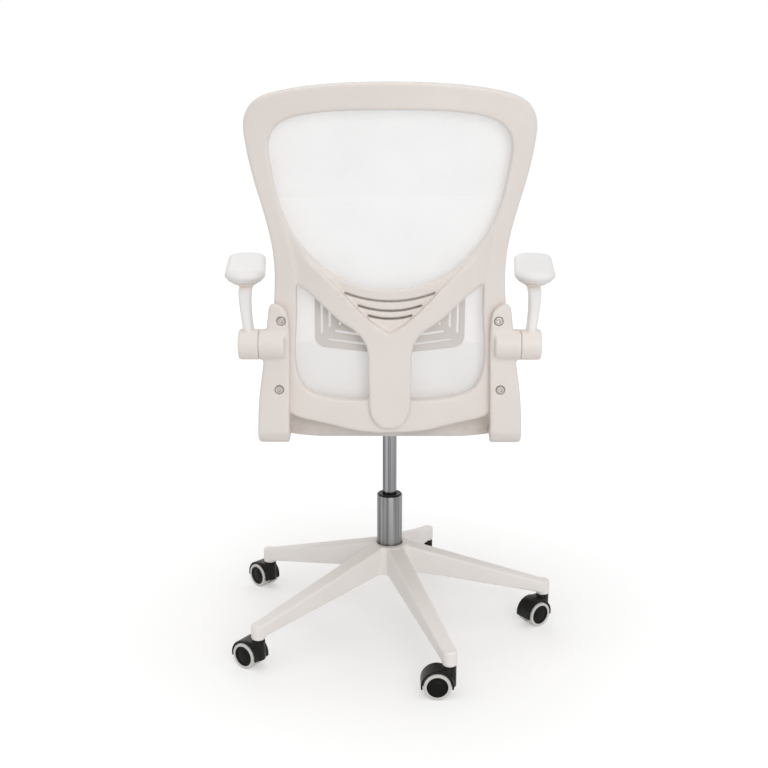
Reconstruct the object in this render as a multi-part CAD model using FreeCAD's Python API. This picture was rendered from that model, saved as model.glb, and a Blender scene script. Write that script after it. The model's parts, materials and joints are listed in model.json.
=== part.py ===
import FreeCAD, Part
import math
import os

# Mesh-back office chair with flip-up arms, five-leg base, gas lift and tilt mechanism.
# Millimetres. Z is up, the floor is z = 0, the lift's axis is x = y = 0.
# The sitter faces -Y, so the back stands at +Y and the sitter's left side is +X.

V = FreeCAD.Vector

# Fits
RUN_GAP = 0.05            # radial gap of a turning or sliding fit
SIDE_GAP = 0.3            # gap between neighbours that must not touch
BOLT_GAP = 0.1            # radial gap round a fixed bolt
END_ROOM = 1.0            # a bolt's hole is deeper than the bolt by this
OVER = 1.0                # a cut runs past the face that it opens by this
FAR_OVER = 20.0           # the same for cuts that end well outside the piece
SCREW_HEAD = 1.8          # a small screw's head radius for each unit of its shank's
SCREW_HEAD_H = 2.0

# Casters
WHEEL_R = 25.0
WHEEL_W = 17.0
WHEEL_ROUND = 1.5
TYRE_DEPTH = 5.5
WHEEL_DISH = 2.0
WHEEL_LIP = 2.5
AXLE_R = 4.0
AXLE_INSET = 3.0
AXLE_WALL = 4.0
WEB_W = 6.0
WHEEL_GAP = 0.6           # between web and wheel
WHEEL_SHOWN = 1.6         # the wheels stand out of the hood's sides by this
TRAIL = 22.0              # stem axis to axle
HOOD_GAP = 1.5            # between tyre and hood
HOOD_WALL = 3.5
HOOD_DROP = 6.0           # the hood reaches below the axle by this
HOOD_NECK_R = 12.5
HOOD_NECK_RISE = 4.5
SHOULDER_INSET = 4.0
STEM_R = 5.5
STEM_DEPTH = 15.0         # length of stem inside the hood
STEM_END_ROOM = 1.5
CUP_GAP = 0.5             # between hood and leg tip
CASTER_TURNS = [0.0, 35.0, 10.0, -45.0, -35.0]   # way each caster trails, degrees from +X

# Base
LEG_COUNT = 5
FIRST_LEG = 110.2         # degrees from +X
STEM_CIRCLE = 312.0
LEG_TIP_H = 30.0
LEG_TIP_LIP = 5.0         # the tip's cup reaches below the leg by this
LEG_TIP_W = 27.0
LEG_RISE = 62.0           # the hub's underside stands over the cups by this
HUB_H = 55.0
HUB_WALL = 12.0
HUB_FLARE = 8.0
LEG_ROOT = 30.0           # distance of the leg's root from the axis
LEG_ROOT_W = 37.0
LEG_ROUND = 6.0
LEG_WALL = 4.0
POCKETS = 4
POCKET_START_GAP = 17.0   # from the hub to the first pocket
POCKET_END_GAP = 26.0     # from the last pocket to the caster's stem
RIB_W = 3.5
SLEEVE_WALL = 2.5
CUP_ROOF = 6.0

# Gas lift
TUBE_R = 25.0
TUBE_WALL = 2.0
TUBE_SHOWN = 101.0        # length above the hub
TUBE_DROP = 8.0           # length below the hub
TUBE_TAPER = 1.5          # the foot's radius is smaller by this
TUBE_FLOOR = 5.0
ROD_HOLE_GAP = 1.0
BUSH_LENGTH = 60.0
BUSH_RISE = 2.0
ROD_R = 5.0
PISTON_H = 9.0
PISTON_LIFT = 3.0
CLIP_R = 10.0
CLIP_H = 2.0
ROD_TAIL = 2.0
BEARING_R = 16.0
RACE_H = 2.0
BALL_R = 2.0
BALL_COUNT = 8
BUMP_R = 11.0
BUMP_H = 7.0
LIFT_TRAVEL = 80.0
CYLINDER_R = 14.0
CYLINDER_WALL = 2.0
CYLINDER_FLOOR = 8.0
CYLINDER_SPARE = 4.0      # room left under the cylinder at its lowest
CYLINDER_LENGTH = 224.7
CYLINDER_CAP = 38.0       # solid length at the top
TAPER_LENGTH = 39.0
TAPER_IN = 0.8            # the taper's top radius is smaller by this
PIN_R = 3.0
PIN_LENGTH = 34.0
PIN_PROUD = 7.0

# Tilt mechanism
HOUSING_HALF_W = 40.0
HOUSING_SHEET = 3.0
HOUSING_DROP = 19.0       # its floor lies below the cylinder's top by this
HOUSING_WALL_H = 16.0
HOUSING_AHEAD = 27.0      # from the tension bolt to the front wall
HOUSING_REAR = 45.0
HOUSING_SHOULDER = 2.0
SOCKET_WALL = 5.0
PIVOT_Y = -50.0
PIVOT_UP = 28.0           # over the housing's floor
PIVOT_PIN_R = 5.0
PIVOT_PIN_PROUD = 2.0
PIVOT_EYE_R = 14.0
TENSION_Y = -95.0
TENSION_BOLT_R = 4.0
TENSION_SLOT_GAP = 2.0
TENSION_SLOT_AHEAD = 17.0
TENSION_SLOT_BEHIND = 7.0
BOSS_R = 9.0
BOSS_H = 30.0
BOLT_IN_BOSS = 24.0
SPRING_LENGTH = 28.0
SPRING_R = 13.0           # to the middle of the wire
SPRING_WIRE_R = 2.0
SPRING_TURNS = 4
KNOB_R = 22.0
KNOB_H = 20.0
KNOB_ROUND = 2.5
KNOB_FLUTES = 8
KNOB_FLUTE_R = 4.0
KNOB_FLUTE_OUT = 1.0      # the flutes' centres lie outside the knob by this
LEVER_R = 4.0
LEVER_Y = -22.0
LEVER_INNER = 16.0
LEVER_END = -190.0
FINGER_RIGHT = -12.0
FINGER_LEFT = 18.0
FINGER_PAST = 2.0         # the finger reaches past the valve pin by this
FINGER_H = 4.0
COLLAR_R = 8.0
COLLAR_GAP = 6.0          # from the housing's side to the collar
COLLAR_W = 8.0
HANDLE_GRIP = 40.0        # length of handle on the lever
HANDLE_PAST = 23.0        # and past the lever's end
HANDLE_AHEAD = 32.0
HANDLE_BEHIND = 9.0
HANDLE_H = 12.0
HANDLE_ROUND = 4.0

# Seat
PLATE_CLEAR = 4.0         # between the pivot eyes and the plate
PLATE_SHEET = 4.0
PLATE_HALF_W = 85.0
PLATE_AHEAD = 6.0         # in front of the housing
PLATE_REAR = 100.0
PLATE_BOLT_X = 70.0
PLATE_BOLT_INSET = 18.0
SEAT_BOLT_R = 3.0
BOLT_COVER = 2.0          # pan left over a bolt's end
EAR_SHEET = 3.0
EAR_GAP = 1.0
PAN_SHEET = 12.0
PAN_INSET = 8.0
SEAT_HALF_W = 250.0       # at the front
SEAT_TAPER = 22.0         # half the width is smaller by this at the rear
SEAT_FRONT = -270.0
SEAT_REAR = 198.0
SEAT_CORNER = 85.0
SEAT_REAR_CORNER = 120.0
RIM_DROP = 19.0           # the cushion's rim hangs below the pan's underside by this
RIM_INSET = 5.0           # the cushion's sides are drawn in by this at their foot
RIM_RISE = 23.0
SIDE_RISE = 47.0
CROWN_RISE = 47.0
CROWN_REACH = 170.0       # the crown's rounding reaches this far in from the sides
CROWN_SHAPE = 3.0         # 2 gives an ellipse, more a fuller edge
CROWN_STEPS = 8
FRONT_EASE = 1.25         # the cushion's front edge slopes more than its other edges
NOTCH_INNER = 7.5         # room beside a foot in the cushion's rim
NOTCH_OUTER = 6.0
NOTCH_RISE = 4.0

# Back
BACK_GAP = 20.0           # from the seat to the frame's front face
RECLINE = 15.5            # degrees, upper back
BEND_UP = 216.0           # height of the bend over the pan's underside
BEND = 45.0
WRAP_LOW = 6.0            # how far the sides come forward at the foot
WRAP_TOP = 30.0           # and at the top
WRAP_AT = 234.0           # distance from the middle where they do
SHEET_SIDE = 38.0         # the curved faces reach past the back by this at the sides,
SHEET_BELOW = 36.0        # below
SHEET_ABOVE = 21.0        # and above
SHEET_COLUMNS = 9
SHEET_ROWS = 14
RING_T = 22.0
ARMS_RISE = 11.0          # spine stands behind the ring by this
ARMS_SINK = 1.5
ARMS_SUNK_X = 165.0       # the spine's arms have sunk into the ring here,
ARMS_FADE = 95.0          # over this width
WEB_INSET = 1.2           # the web's front lies behind the spine's by this
WEB_T = 10.5
RIM_T = 6.0
RIM_OUT = 1.5             # the mesh's rim stands out past the frame by this
RIM_W = 14.5
MESH_T = 1.5
LUMBAR_FRONT = 2.6
LUMBAR_T = 4.4
SLOT_W = 4.2
SCREW_R = 2.5
SCREW_X = 22.0
SCREW_UP = [166.0, 151.0]
SCREW_DEPTH = 12.0

# Brackets that carry the back
BRACKET_T = 17.0
BRACKET_BEND = 28.0
BRACKET_INNER_BEND = 12.0
BRACKET_CLEAR = 2.0       # kept free round the frame's edge
ROUND_EASE = 0.2          # left uncut where the rear round meets the upright
ROUND_EASE_H = 6.0
FOOT_H = 18.0
FOOT_LENGTH = 148.0       # forward from the seat's rear
FOOT_TIP_X = [182.0, 222.0]
FOOT_BOLT_R = 4.0
FOOT_BOLT_X = 197.0
FOOT_BOLT_IN = [123.0, 75.0]   # forward from the seat's rear
BOLT_HEAD_R = 6.5
BOLT_HEAD_H = 5.0
RECESS_GAP = 1.5
RECESS_DEPTH = 6.0
HEX_R = 3.4
HEX_DEPTH = 3.0
BACK_BOLT_R = 4.0
BACK_BOLT_DEPTH = 14.0    # length inside the frame
BACK_BOLTS = [(184.0, 204.0), (190.0, 83.0)]

# Arms
ARM_PIVOT_UP = 161.0      # over the pan's underside
ARM_HUB_R = 26.5
ARM_HUB_W = 35.0
ARM_HUB_ROUND = 3.0
ARM_INNER = 223.0
BRACKET_BOSS_W = 45.0
ARM_AXLE_R = 6.0
ARM_AXLE_IN = 15.0        # length inside the bracket's boss
ARM_AXLE_COVER = 8.0      # hub left over the axle's end
PAD_UP = 98.0             # over the arm's pivot
PAD_IN = 4.0              # over the post the pad's middle line lies inside the hub's end by this
PAD_TOE_OUT = 5.5         # degrees
PAD_W = 72.0
PAD_LENGTH = 256.0
PAD_AHEAD = 44.0          # from the pivot to the pad's rear
PAD_CORNER = 0.96         # corner radius for each unit of half width
PAD_LAYERS = [(0.0, 8.0), (4.0, 2.0), (8.0, 0.0), (14.0, 2.0), (19.0, 12.0)]   # rise and inset
FLANGE_H = 9.0
FLANGE_W = 58.0
FLANGE_LENGTH = 150.0
FLANGE_INSET = 7.0        # from the pad's rear
FLANGE_LAYERS = [(0.0, 16.0), (4.0, 6.0), (FLANGE_H, 1.0)]   # rise and inset
POST_FOOT = 5.0           # the post starts over the pivot by this
POST_IN = 2.5             # its foot lies inside the hub's middle by this
POST_OUT = 3.0            # its top lies inside the pad's middle by this
POST_SINK = 1.0           # and runs into the flange by this
POST_ROUND = 2.6          # widths for each unit of corner radius
# Sections of the post: share of its height, share of its sweep outwards, lean, width and depth.
POST = [(0.0, 0.0, 0.0, 16.5, 38.0), (0.5, 0.5, -10.0, 17.5, 36.0), (0.8, 0.85, -34.0, 20.0, 44.0),
        (1.0, 1.0, -78.0, 24.0, 56.0)]
PAD_SCREW_R = 2.5
PAD_SCREW_HEAD_H = 3.0
PAD_SCREW_IN = [30.0, 80.0]    # from the flange's front
PAD_SCREW_UP = 14.0

# Outlines seen from behind: right half of each as (x, height over the pan's underside).
FRAME_OUTLINE = [(0, 2), (60, 6), (124, 21), (172, 35), (196, 59), (204, 116), (202, 176), (196, 246),
                 (195, 316), (209, 393), (226, 464), (233, 511), (232, 541), (216, 565), (180, 580),
                 (94, 592), (0, 595)]
RING_OPENING = [(0, 61), (50, 61), (105, 66), (146, 83), (160, 114), (160, 186), (158, 268), (166, 331),
                (183, 411), (193, 471), (193, 507), (179, 529), (140, 545), (75, 552), (0, 553)]
WINDOW_ARC = [(0, 258), (49, 264), (96, 285), (131, 316), (155, 346), (171, 379), (182, 411)]
ARM_INNER_EDGE = [(0, 182), (14, 190), (116, 290), (150, 323), (168, 356), (186, 384)]
ARM_OUTER_EDGE = [(188, 304), (158, 268), (128, 243), (80, 200), (52, 179), (40, 158), (37, 116), (36, 71),
                  (33, 38), (20, 18), (0, 12)]
WEB_LOWER = [(190, 316), (150, 271), (128, 246), (80, 208), (40, 186), (0, 176)]
LUMBAR_CORNERS = [(0, 138, 0), (129, 152, 20), (129, 262, 18), (90, 262, 0), (45, 248, 0),
                  (0, 244, 0)]   # the third is the corner's radius
LUMBAR_SIDE_SLOTS = [(117, 177, 117, 230), (103.5, 187, 103.5, 218), (86, 191, 86, 194),
                     (105, 164, 42, 156), (93, 179, 52, 173)]
LUMBAR_TOP_SLOTS = [(77, 252, 237), (55, 230, 220), (38, 212, 206)]   # half width, height at end and middle
BRACKET_INNER_EDGE = [(174, -18), (173, 46), (171, 126), (171, 196), (173, 218)]
BRACKET_TOP_EDGE = [(173, 218), (180, 227), (196, 234), (205, 226)]
BRACKET_OUTER_EDGE = [(205, 226), (210, 186), (216, 134), (224, 81), (228, 31), (229, -18)]


# Heights and places that follow from the sizes above, from the floor upwards
leg_tip_angles = [FIRST_LEG + k * 360.0 / LEG_COUNT for k in range(LEG_COUNT)]
hood_w = WEB_W + 2 * (WHEEL_GAP + WHEEL_W - WHEEL_SHOWN)
hood_r = WHEEL_R + HOOD_GAP + HOOD_WALL
hood_bottom = WHEEL_R - HOOD_DROP
hood_top = WHEEL_R + hood_r + HOOD_NECK_RISE
cup_bottom = hood_top + CUP_GAP
leg_tip_top = cup_bottom + LEG_TIP_H
leg_tip_bottom = cup_bottom + LEG_TIP_LIP
sleeve_r = STEM_R + RUN_GAP + SLEEVE_WALL
sleeve_top = leg_tip_top - CUP_ROOF
stem_bottom = hood_top - STEM_DEPTH
stem_top = sleeve_top - STEM_END_ROOM
hub_bottom = cup_bottom + LEG_RISE
hub_top = hub_bottom + HUB_H
hub_top_r = TUBE_R + HUB_WALL
hub_bottom_r = hub_top_r + HUB_FLARE
pocket_start = hub_bottom_r + POCKET_START_GAP
pocket_end = STEM_CIRCLE - POCKET_END_GAP
tube_bottom = hub_bottom - TUBE_DROP
tube_top = hub_top + TUBE_SHOWN
bearing_bottom = tube_bottom + TUBE_FLOOR
bump_bottom = bearing_bottom + 2 * RACE_H + 2 * BALL_R + SIDE_GAP
cylinder_bottom = bump_bottom + BUMP_H + CYLINDER_SPARE + LIFT_TRAVEL
cylinder_top = cylinder_bottom + CYLINDER_LENGTH
cylinder_roof = cylinder_top - CYLINDER_CAP
cylinder_bore = CYLINDER_R - CYLINDER_WALL
taper_start = cylinder_top - TAPER_LENGTH
piston_bottom = cylinder_bottom + CYLINDER_FLOOR + PISTON_LIFT
pin_top = cylinder_top + PIN_PROUD
finger_bottom = pin_top + SIDE_GAP
lever_z = finger_bottom + FINGER_H / 2
socket_r = CYLINDER_R + SOCKET_WALL
housing_floor = cylinder_top - HOUSING_DROP
housing_front = TENSION_Y - HOUSING_AHEAD
housing_wall_top = housing_floor + HOUSING_WALL_H
knob_top = housing_floor - SPRING_LENGTH
pivot_z = housing_floor + PIVOT_UP
ear_inner = HOUSING_HALF_W + EAR_GAP
ear_outer = ear_inner + EAR_SHEET
collar_inner = -HOUSING_HALF_W - COLLAR_GAP
plate_bottom = pivot_z + PIVOT_EYE_R + PLATE_CLEAR
plate_front = housing_front - PLATE_AHEAD
boss_bottom = plate_bottom - BOSS_H
pan_bottom = plate_bottom + PLATE_SHEET
pan_top = pan_bottom + PAN_SHEET
seat_rim = pan_bottom - RIM_DROP
foot_bottom = pan_bottom - FOOT_H
foot_root_x = [BRACKET_INNER_EDGE[0][0], BRACKET_OUTER_EDGE[-1][0]]
back_y = SEAT_REAR + BACK_GAP
back_low = pan_bottom + FRAME_OUTLINE[0][1]
back_top = pan_bottom + FRAME_OUTLINE[-1][1]
bend_z = pan_bottom + BEND_UP
arms_front = LUMBAR_FRONT + LUMBAR_T + SIDE_GAP
web_front = arms_front + WEB_INSET
web_back = web_front + WEB_T
bracket_near = RING_T + SIDE_GAP
arm_y = back_y + RING_T
arm_z = pan_bottom + ARM_PIVOT_UP
arm_outer = ARM_INNER + ARM_HUB_W
arm_axle_inner = ARM_INNER - ARM_AXLE_IN
arm_axle_outer = arm_outer - ARM_AXLE_COVER
pad_x = arm_outer - PAD_IN
pad_bottom = arm_z + PAD_UP
pad_rear = arm_y - PAD_AHEAD
pad_front = pad_rear - PAD_LENGTH
flange_bottom = pad_bottom - FLANGE_H
flange_rear = pad_rear - FLANGE_INSET
flange_front = flange_rear - FLANGE_LENGTH
post_top_y = arm_y + POST[-1][2]
pad_screw_places = [flange_front + inset for inset in PAD_SCREW_IN]


def export(name, shape):
    shape.exportStep("parts/" + name + ".step")
    print(name, "solids", len(shape.Solids), "volume", round(shape.Volume), "valid", shape.isValid())


def box(x0, x1, y0, y1, z0, z1):
    return Part.makeBox(x1 - x0, y1 - y0, z1 - z0, V(x0, y0, z0))


def rod(r, start, end):
    return Part.makeCylinder(r, (end - start).Length, start, end - start)


def cross_rod(r, x0, x1, y, z):
    # Cylinder along X.
    return rod(r, V(x0, y, z), V(x1, y, z))


def depth_rod(r, x, z, y0, y1):
    # Cylinder along Y.
    return rod(r, V(x, y0, z), V(x, y1, z))


def upright(r, z0, z1, x=0.0, y=0.0):
    return Part.makeCylinder(r, z1 - z0, V(x, y, z0))


def ring(outer, inner, z0, z1, x=0.0, y=0.0):
    return upright(outer, z0, z1, x, y).cut(upright(inner, z0 - OVER, z1 + OVER, x, y))


def joined(shapes):
    return shapes[0].fuse(shapes[1:]).removeSplitter()


def group(shapes):
    return Part.makeCompound(shapes)


def mirrored(shape):
    return shape.mirror(V(0, 0, 0), V(1, 0, 0))


def turned(shape, degrees):
    copy = shape.copy()
    copy.rotate(V(0, 0, 0), V(0, 0, 1), degrees)
    return copy


def round_edges(shape):
    # The closed circular edges of a turned piece.
    return [edge for edge in shape.Edges if len(edge.Vertexes) == 1]


def smooth_edge(points):
    curve = Part.BSplineCurve()
    curve.interpolate(points)
    return curve.toShape()


def smooth_loop(points):
    curve = Part.BSplineCurve()
    curve.interpolate(points, PeriodicFlag=True)
    return Part.Wire([curve.toShape()])


def back_point(x, up):
    # Point of an outline seen from behind.
    return V(x, 0, pan_bottom + up)


def both_halves(half):
    # Mirrors a half outline that starts and ends on the middle line.
    points = [back_point(x, up) for x, up in half]
    other = [V(-p.x, 0, p.z) for p in points[1:-1]]
    return points + other[::-1]


def rounded_loop(corners, radii):
    # Flat outline of straight sides with a round of its own at each corner; 0 keeps it sharp.
    rounds = []
    for k, corner in enumerate(corners):
        back = (corners[k - 1] - corner).normalize()
        ahead = (corners[(k + 1) % len(corners)] - corner).normalize()
        half = back.getAngle(ahead) / 2
        reach = radii[k] / math.tan(half)
        middle = (back + ahead).normalize() * (radii[k] / math.sin(half) - radii[k])
        rounds.append((corner + back * reach, corner + middle, corner + ahead * reach))
    edges = []
    for k, (start, middle, end) in enumerate(rounds):
        if radii[k] > 0:
            edges.append(Part.Arc(start, middle, end).toShape())
        edges.append(Part.makeLine(end, rounds[(k + 1) % len(rounds)][0]))
    return Part.Wire(edges)


def rounded_rectangle(x0, x1, y0, y1, z, r):
    return rounded_loop([V(x1, y1, z), V(x0, y1, z), V(x0, y0, z), V(x1, y0, z)], [r] * 4)


# Casters

def wheel_disc(r, start, width):
    return Part.makeCylinder(r, width, V(0, start, 0), V(0, 1, 0))


def caster_wheel(side):
    # Wheel on the Y axis, at y from the web outwards for side 1.
    inner = WEB_W / 2 + WHEEL_GAP
    dish_start = inner + WHEEL_W - WHEEL_DISH
    core_r = WHEEL_R - TYRE_DEPTH
    dish = wheel_disc(core_r - WHEEL_LIP, dish_start, WHEEL_DISH)
    cap = wheel_disc(core_r / 2, dish_start, WHEEL_DISH)
    bore = wheel_disc(AXLE_R + RUN_GAP, inner, WHEEL_W - AXLE_INSET)
    core = wheel_disc(core_r, inner, WHEEL_W).cut(dish).fuse(cap).removeSplitter().cut(bore)
    tyre = wheel_disc(WHEEL_R, inner, WHEEL_W)
    tyre = tyre.makeFillet(WHEEL_ROUND, round_edges(tyre))
    tyre = tyre.cut(wheel_disc(core_r, inner, WHEEL_W))
    wheel = group([core, tyre])
    if side < 0:
        wheel = wheel.mirror(V(0, 0, 0), V(0, 1, 0))
    wheel.translate(V(TRAIL, 0, WHEEL_R))
    return wheel


def caster_hood():
    # Mudguard over both wheels, with a web between them and a neck for the stem.
    half = hood_w / 2
    axle = V(TRAIL, -half, WHEEL_R)
    guard = Part.makeCylinder(hood_r, hood_w, axle, V(0, 1, 0))
    guard = guard.cut(box(TRAIL - 2 * hood_r, TRAIL + 2 * hood_r, -hood_w, hood_w, -hood_r, hood_bottom))
    inset = half - SHOULDER_INSET
    shoulder = box(0, TRAIL, -inset, inset, hood_bottom, hood_top - SHOULDER_INSET)
    neck = upright(HOOD_NECK_R, hood_bottom, hood_top)
    body = joined([guard, shoulder, neck])
    for way in (1, -1):
        start = V(TRAIL, way * WEB_W / 2, WHEEL_R)
        lane = Part.makeCylinder(WHEEL_R + HOOD_GAP, hood_w, start, V(0, way, 0))
        body = body.cut(lane)
    hub_web = Part.makeCylinder(AXLE_R + AXLE_WALL, WEB_W, V(TRAIL, -WEB_W / 2, WHEEL_R), V(0, 1, 0))
    body = body.fuse(hub_web).removeSplitter()
    body = body.cut(Part.makeCylinder(AXLE_R, hood_w, axle, V(0, 1, 0)))
    return body.cut(upright(STEM_R, stem_bottom, hood_top + OVER))


def caster_stem():
    # Swivel stem and the fixed axle of both wheels.
    stem = upright(STEM_R, stem_bottom, stem_top)
    reach = WEB_W / 2 + WHEEL_W - AXLE_INSET
    axle = depth_rod(AXLE_R, TRAIL, WHEEL_R, -reach, reach)
    return group([stem, axle])


def placed_caster(shape, k):
    angle = math.radians(leg_tip_angles[k])
    copy = turned(shape, CASTER_TURNS[k])
    copy.translate(V(STEM_CIRCLE * math.cos(angle), STEM_CIRCLE * math.sin(angle), 0))
    return copy


# Base

def leg_size(distance):
    # Half width, underside and top of a leg at a distance from the axis.
    t = (distance - LEG_ROOT) / (STEM_CIRCLE - LEG_ROOT)
    half = (LEG_ROOT_W + t * (LEG_TIP_W - LEG_ROOT_W)) / 2
    bottom = hub_bottom + t * (leg_tip_bottom - hub_bottom)
    top = hub_top + t * (leg_tip_top - hub_top)
    return half, bottom, top


def leg_outline(distance, half, bottom, top, r):
    # Upright outline across the leg with rounded upper corners.
    def at(y, z):
        return V(distance, y, z)
    s = r * (1 - math.sqrt(0.5))
    return Part.Wire([
        Part.makeLine(at(-half, bottom), at(half, bottom)),
        Part.makeLine(at(half, bottom), at(half, top - r)),
        Part.Arc(at(half, top - r), at(half - s, top - s), at(half - r, top)).toShape(),
        Part.makeLine(at(half - r, top), at(r - half, top)),
        Part.Arc(at(r - half, top), at(s - half, top - s), at(-half, top - r)).toShape(),
        Part.makeLine(at(-half, top - r), at(-half, bottom))])


def leg():
    # One leg along +X, open below between its ribs.
    ends = []
    for distance in (LEG_ROOT, STEM_CIRCLE):
        half, bottom, top = leg_size(distance)
        ends.append(leg_outline(distance, half, bottom, top, LEG_ROUND))
    bar = Part.makeLoft(ends, True, True)
    tip = upright(LEG_TIP_W / 2, cup_bottom, leg_tip_top, STEM_CIRCLE)
    tip = tip.makeFillet(LEG_ROUND / 2, [tip.Edges[0]])
    bar = bar.fuse(tip).removeSplitter()
    step = (pocket_end - pocket_start + RIB_W) / POCKETS
    for k in range(POCKETS):
        start = pocket_start + k * step
        walls = []
        for distance in (start, start + step - RIB_W):
            half, bottom, top = leg_size(distance)
            walls.append(leg_outline(distance, half - LEG_WALL, bottom - LEG_WALL, top - LEG_WALL,
                                     LEG_ROUND / 2))
        bar = bar.cut(Part.makeLoft(walls, True, True))
    return bar


def tube_taper(r_cut):
    # Solid inside a tube's outer face less r_cut, straight above the hub and tapered in it.
    foot_r = TUBE_R - TUBE_TAPER - r_cut
    foot = Part.makeCone(foot_r, TUBE_R - r_cut, hub_top - tube_bottom, V(0, 0, tube_bottom))
    return foot.fuse(upright(TUBE_R - r_cut, hub_top, tube_top)).removeSplitter()


def star_base():
    hub = Part.makeCone(hub_bottom_r, hub_top_r, HUB_H, V(0, 0, hub_bottom))
    legs = [turned(leg(), angle) for angle in leg_tip_angles]
    star = joined([hub] + legs)
    star = star.cut(tube_taper(0))
    for angle in leg_tip_angles:
        star = star.cut(turned(upright(sleeve_r, cup_bottom - OVER, sleeve_top, STEM_CIRCLE), angle))
    return star


def caster_sleeves():
    sleeve = ring(sleeve_r, STEM_R + RUN_GAP, cup_bottom, sleeve_top, STEM_CIRCLE)
    return group([turned(sleeve, angle) for angle in leg_tip_angles])


# Gas lift

def gas_outer_tube():
    inside = tube_taper(TUBE_WALL).common(upright(TUBE_R, bearing_bottom, tube_top))
    return tube_taper(0).cut(inside).cut(upright(ROD_R + ROD_HOLE_GAP, tube_bottom, bearing_bottom))


def guide_bush():
    bush_r = TUBE_R - TUBE_WALL
    return ring(bush_r, CYLINDER_R + RUN_GAP, tube_top - BUSH_LENGTH, tube_top + BUSH_RISE)


def thrust_bearing():
    hole = ROD_R + ROD_HOLE_GAP
    upper = bearing_bottom + RACE_H + 2 * BALL_R
    lower_race = ring(BEARING_R, hole, bearing_bottom, bearing_bottom + RACE_H)
    upper_race = ring(BEARING_R, hole, upper, upper + RACE_H)
    track = (BEARING_R + hole) / 2
    ball = Part.makeSphere(BALL_R, V(track, 0, bearing_bottom + RACE_H + BALL_R))
    balls = [turned(ball, k * 360.0 / BALL_COUNT) for k in range(BALL_COUNT)]
    return group([lower_race, upper_race] + balls)


def piston_rod():
    bottom = tube_bottom - SIDE_GAP - CLIP_H - ROD_TAIL
    shaft = upright(ROD_R, bottom, piston_bottom + PISTON_H)
    head = upright(cylinder_bore - RUN_GAP, piston_bottom, piston_bottom + PISTON_H)
    return shaft.fuse(head).removeSplitter()


def rod_clip():
    top = tube_bottom - SIDE_GAP
    return ring(CLIP_R, ROD_R, top - CLIP_H, top)


def bump_stop():
    return ring(BUMP_R, ROD_R, bump_bottom, bump_bottom + BUMP_H)


def cylinder_taper():
    return Part.makeCone(CYLINDER_R, CYLINDER_R - TAPER_IN, TAPER_LENGTH, V(0, 0, taper_start))


def gas_cylinder():
    floor_top = cylinder_bottom + CYLINDER_FLOOR
    body = upright(CYLINDER_R, cylinder_bottom, taper_start).fuse(cylinder_taper()).removeSplitter()
    body = body.cut(upright(cylinder_bore, floor_top, cylinder_roof))
    body = body.cut(upright(ROD_R + RUN_GAP, cylinder_bottom - OVER, floor_top + OVER))
    return body.cut(upright(PIN_R + RUN_GAP, cylinder_roof - OVER, cylinder_top + OVER))


def release_pin():
    return upright(PIN_R, pin_top - PIN_LENGTH, pin_top)


# Tilt mechanism

def taper_socket():
    return upright(socket_r, taper_start, cylinder_top).cut(cylinder_taper())


def housing_side():
    # Side wall, high at the pivot and low at both ends.
    top = pivot_z + PIVOT_EYE_R
    corners = [(housing_front, housing_floor), (housing_front, housing_wall_top),
               (PIVOT_Y - PIVOT_EYE_R, top), (PIVOT_Y + PIVOT_EYE_R - HOUSING_SHOULDER, top),
               (HOUSING_REAR, housing_wall_top), (HOUSING_REAR, housing_floor)]
    loop = Part.makePolygon([V(-HOUSING_HALF_W, y, z) for y, z in corners + corners[:1]])
    return Part.Face(loop).extrude(V(HOUSING_SHEET, 0, 0))


def tension_slot():
    # Long hole in the housing's floor that the tension bolt swings in.
    slot_r = TENSION_BOLT_R + TENSION_SLOT_GAP
    front = TENSION_Y - TENSION_SLOT_AHEAD + slot_r
    rear = TENSION_Y + TENSION_SLOT_BEHIND - slot_r
    low = housing_floor - OVER
    high = housing_floor + HOUSING_SHEET + OVER
    return [upright(slot_r, low, high, 0, front), upright(slot_r, low, high, 0, rear),
            box(-slot_r, slot_r, front, rear, low, high)]


def mechanism_housing():
    # Pressed tub: floor, two side walls, front and rear walls.
    half = HOUSING_HALF_W
    floor = box(-half, half, housing_front, HOUSING_REAR, housing_floor, housing_floor + HOUSING_SHEET)
    front = box(-half, half, housing_front, housing_front + HOUSING_SHEET, housing_floor, housing_wall_top)
    rear = box(-half, half, HOUSING_REAR - HOUSING_SHEET, HOUSING_REAR, housing_floor, housing_wall_top)
    side = housing_side()
    tub = joined([floor, side, mirrored(side), front, rear])
    tub = tub.cut(upright(socket_r, housing_floor - OVER, cylinder_top))
    tub = tub.cut(cross_rod(PIVOT_PIN_R, -half - OVER, half + OVER, PIVOT_Y, pivot_z))
    tub = tub.cut(cross_rod(LEVER_R + RUN_GAP, -half - OVER, 0, LEVER_Y, lever_z))
    return tub.cut(tension_slot())


def tilt_pin():
    end = ear_outer + PIVOT_PIN_PROUD
    return cross_rod(PIVOT_PIN_R, -end, end, PIVOT_Y, pivot_z)


def blended_arcs(start, start_way, end, end_way):
    # Two arcs that leave start along start_way and reach end along end_way.
    across = end - start
    ways = start_way + end_way
    spread = 2 * (1 - start_way.dot(end_way))
    along = across.dot(ways)
    reach = (math.sqrt(along * along + spread * across.dot(across)) - along) / spread
    first = start + start_way * reach
    second = end - end_way * reach
    middle = (first + second) * 0.5
    arcs = []
    for a, apex, b in ((start, first, middle), (middle, second, end)):
        chord = (a + b) * 0.5
        cosine = (b - a).Length / 2 / reach
        arcs.append(Part.Arc(a, chord + (apex - chord) * (cosine / (1 + cosine)), b).toShape())
    return arcs


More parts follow.
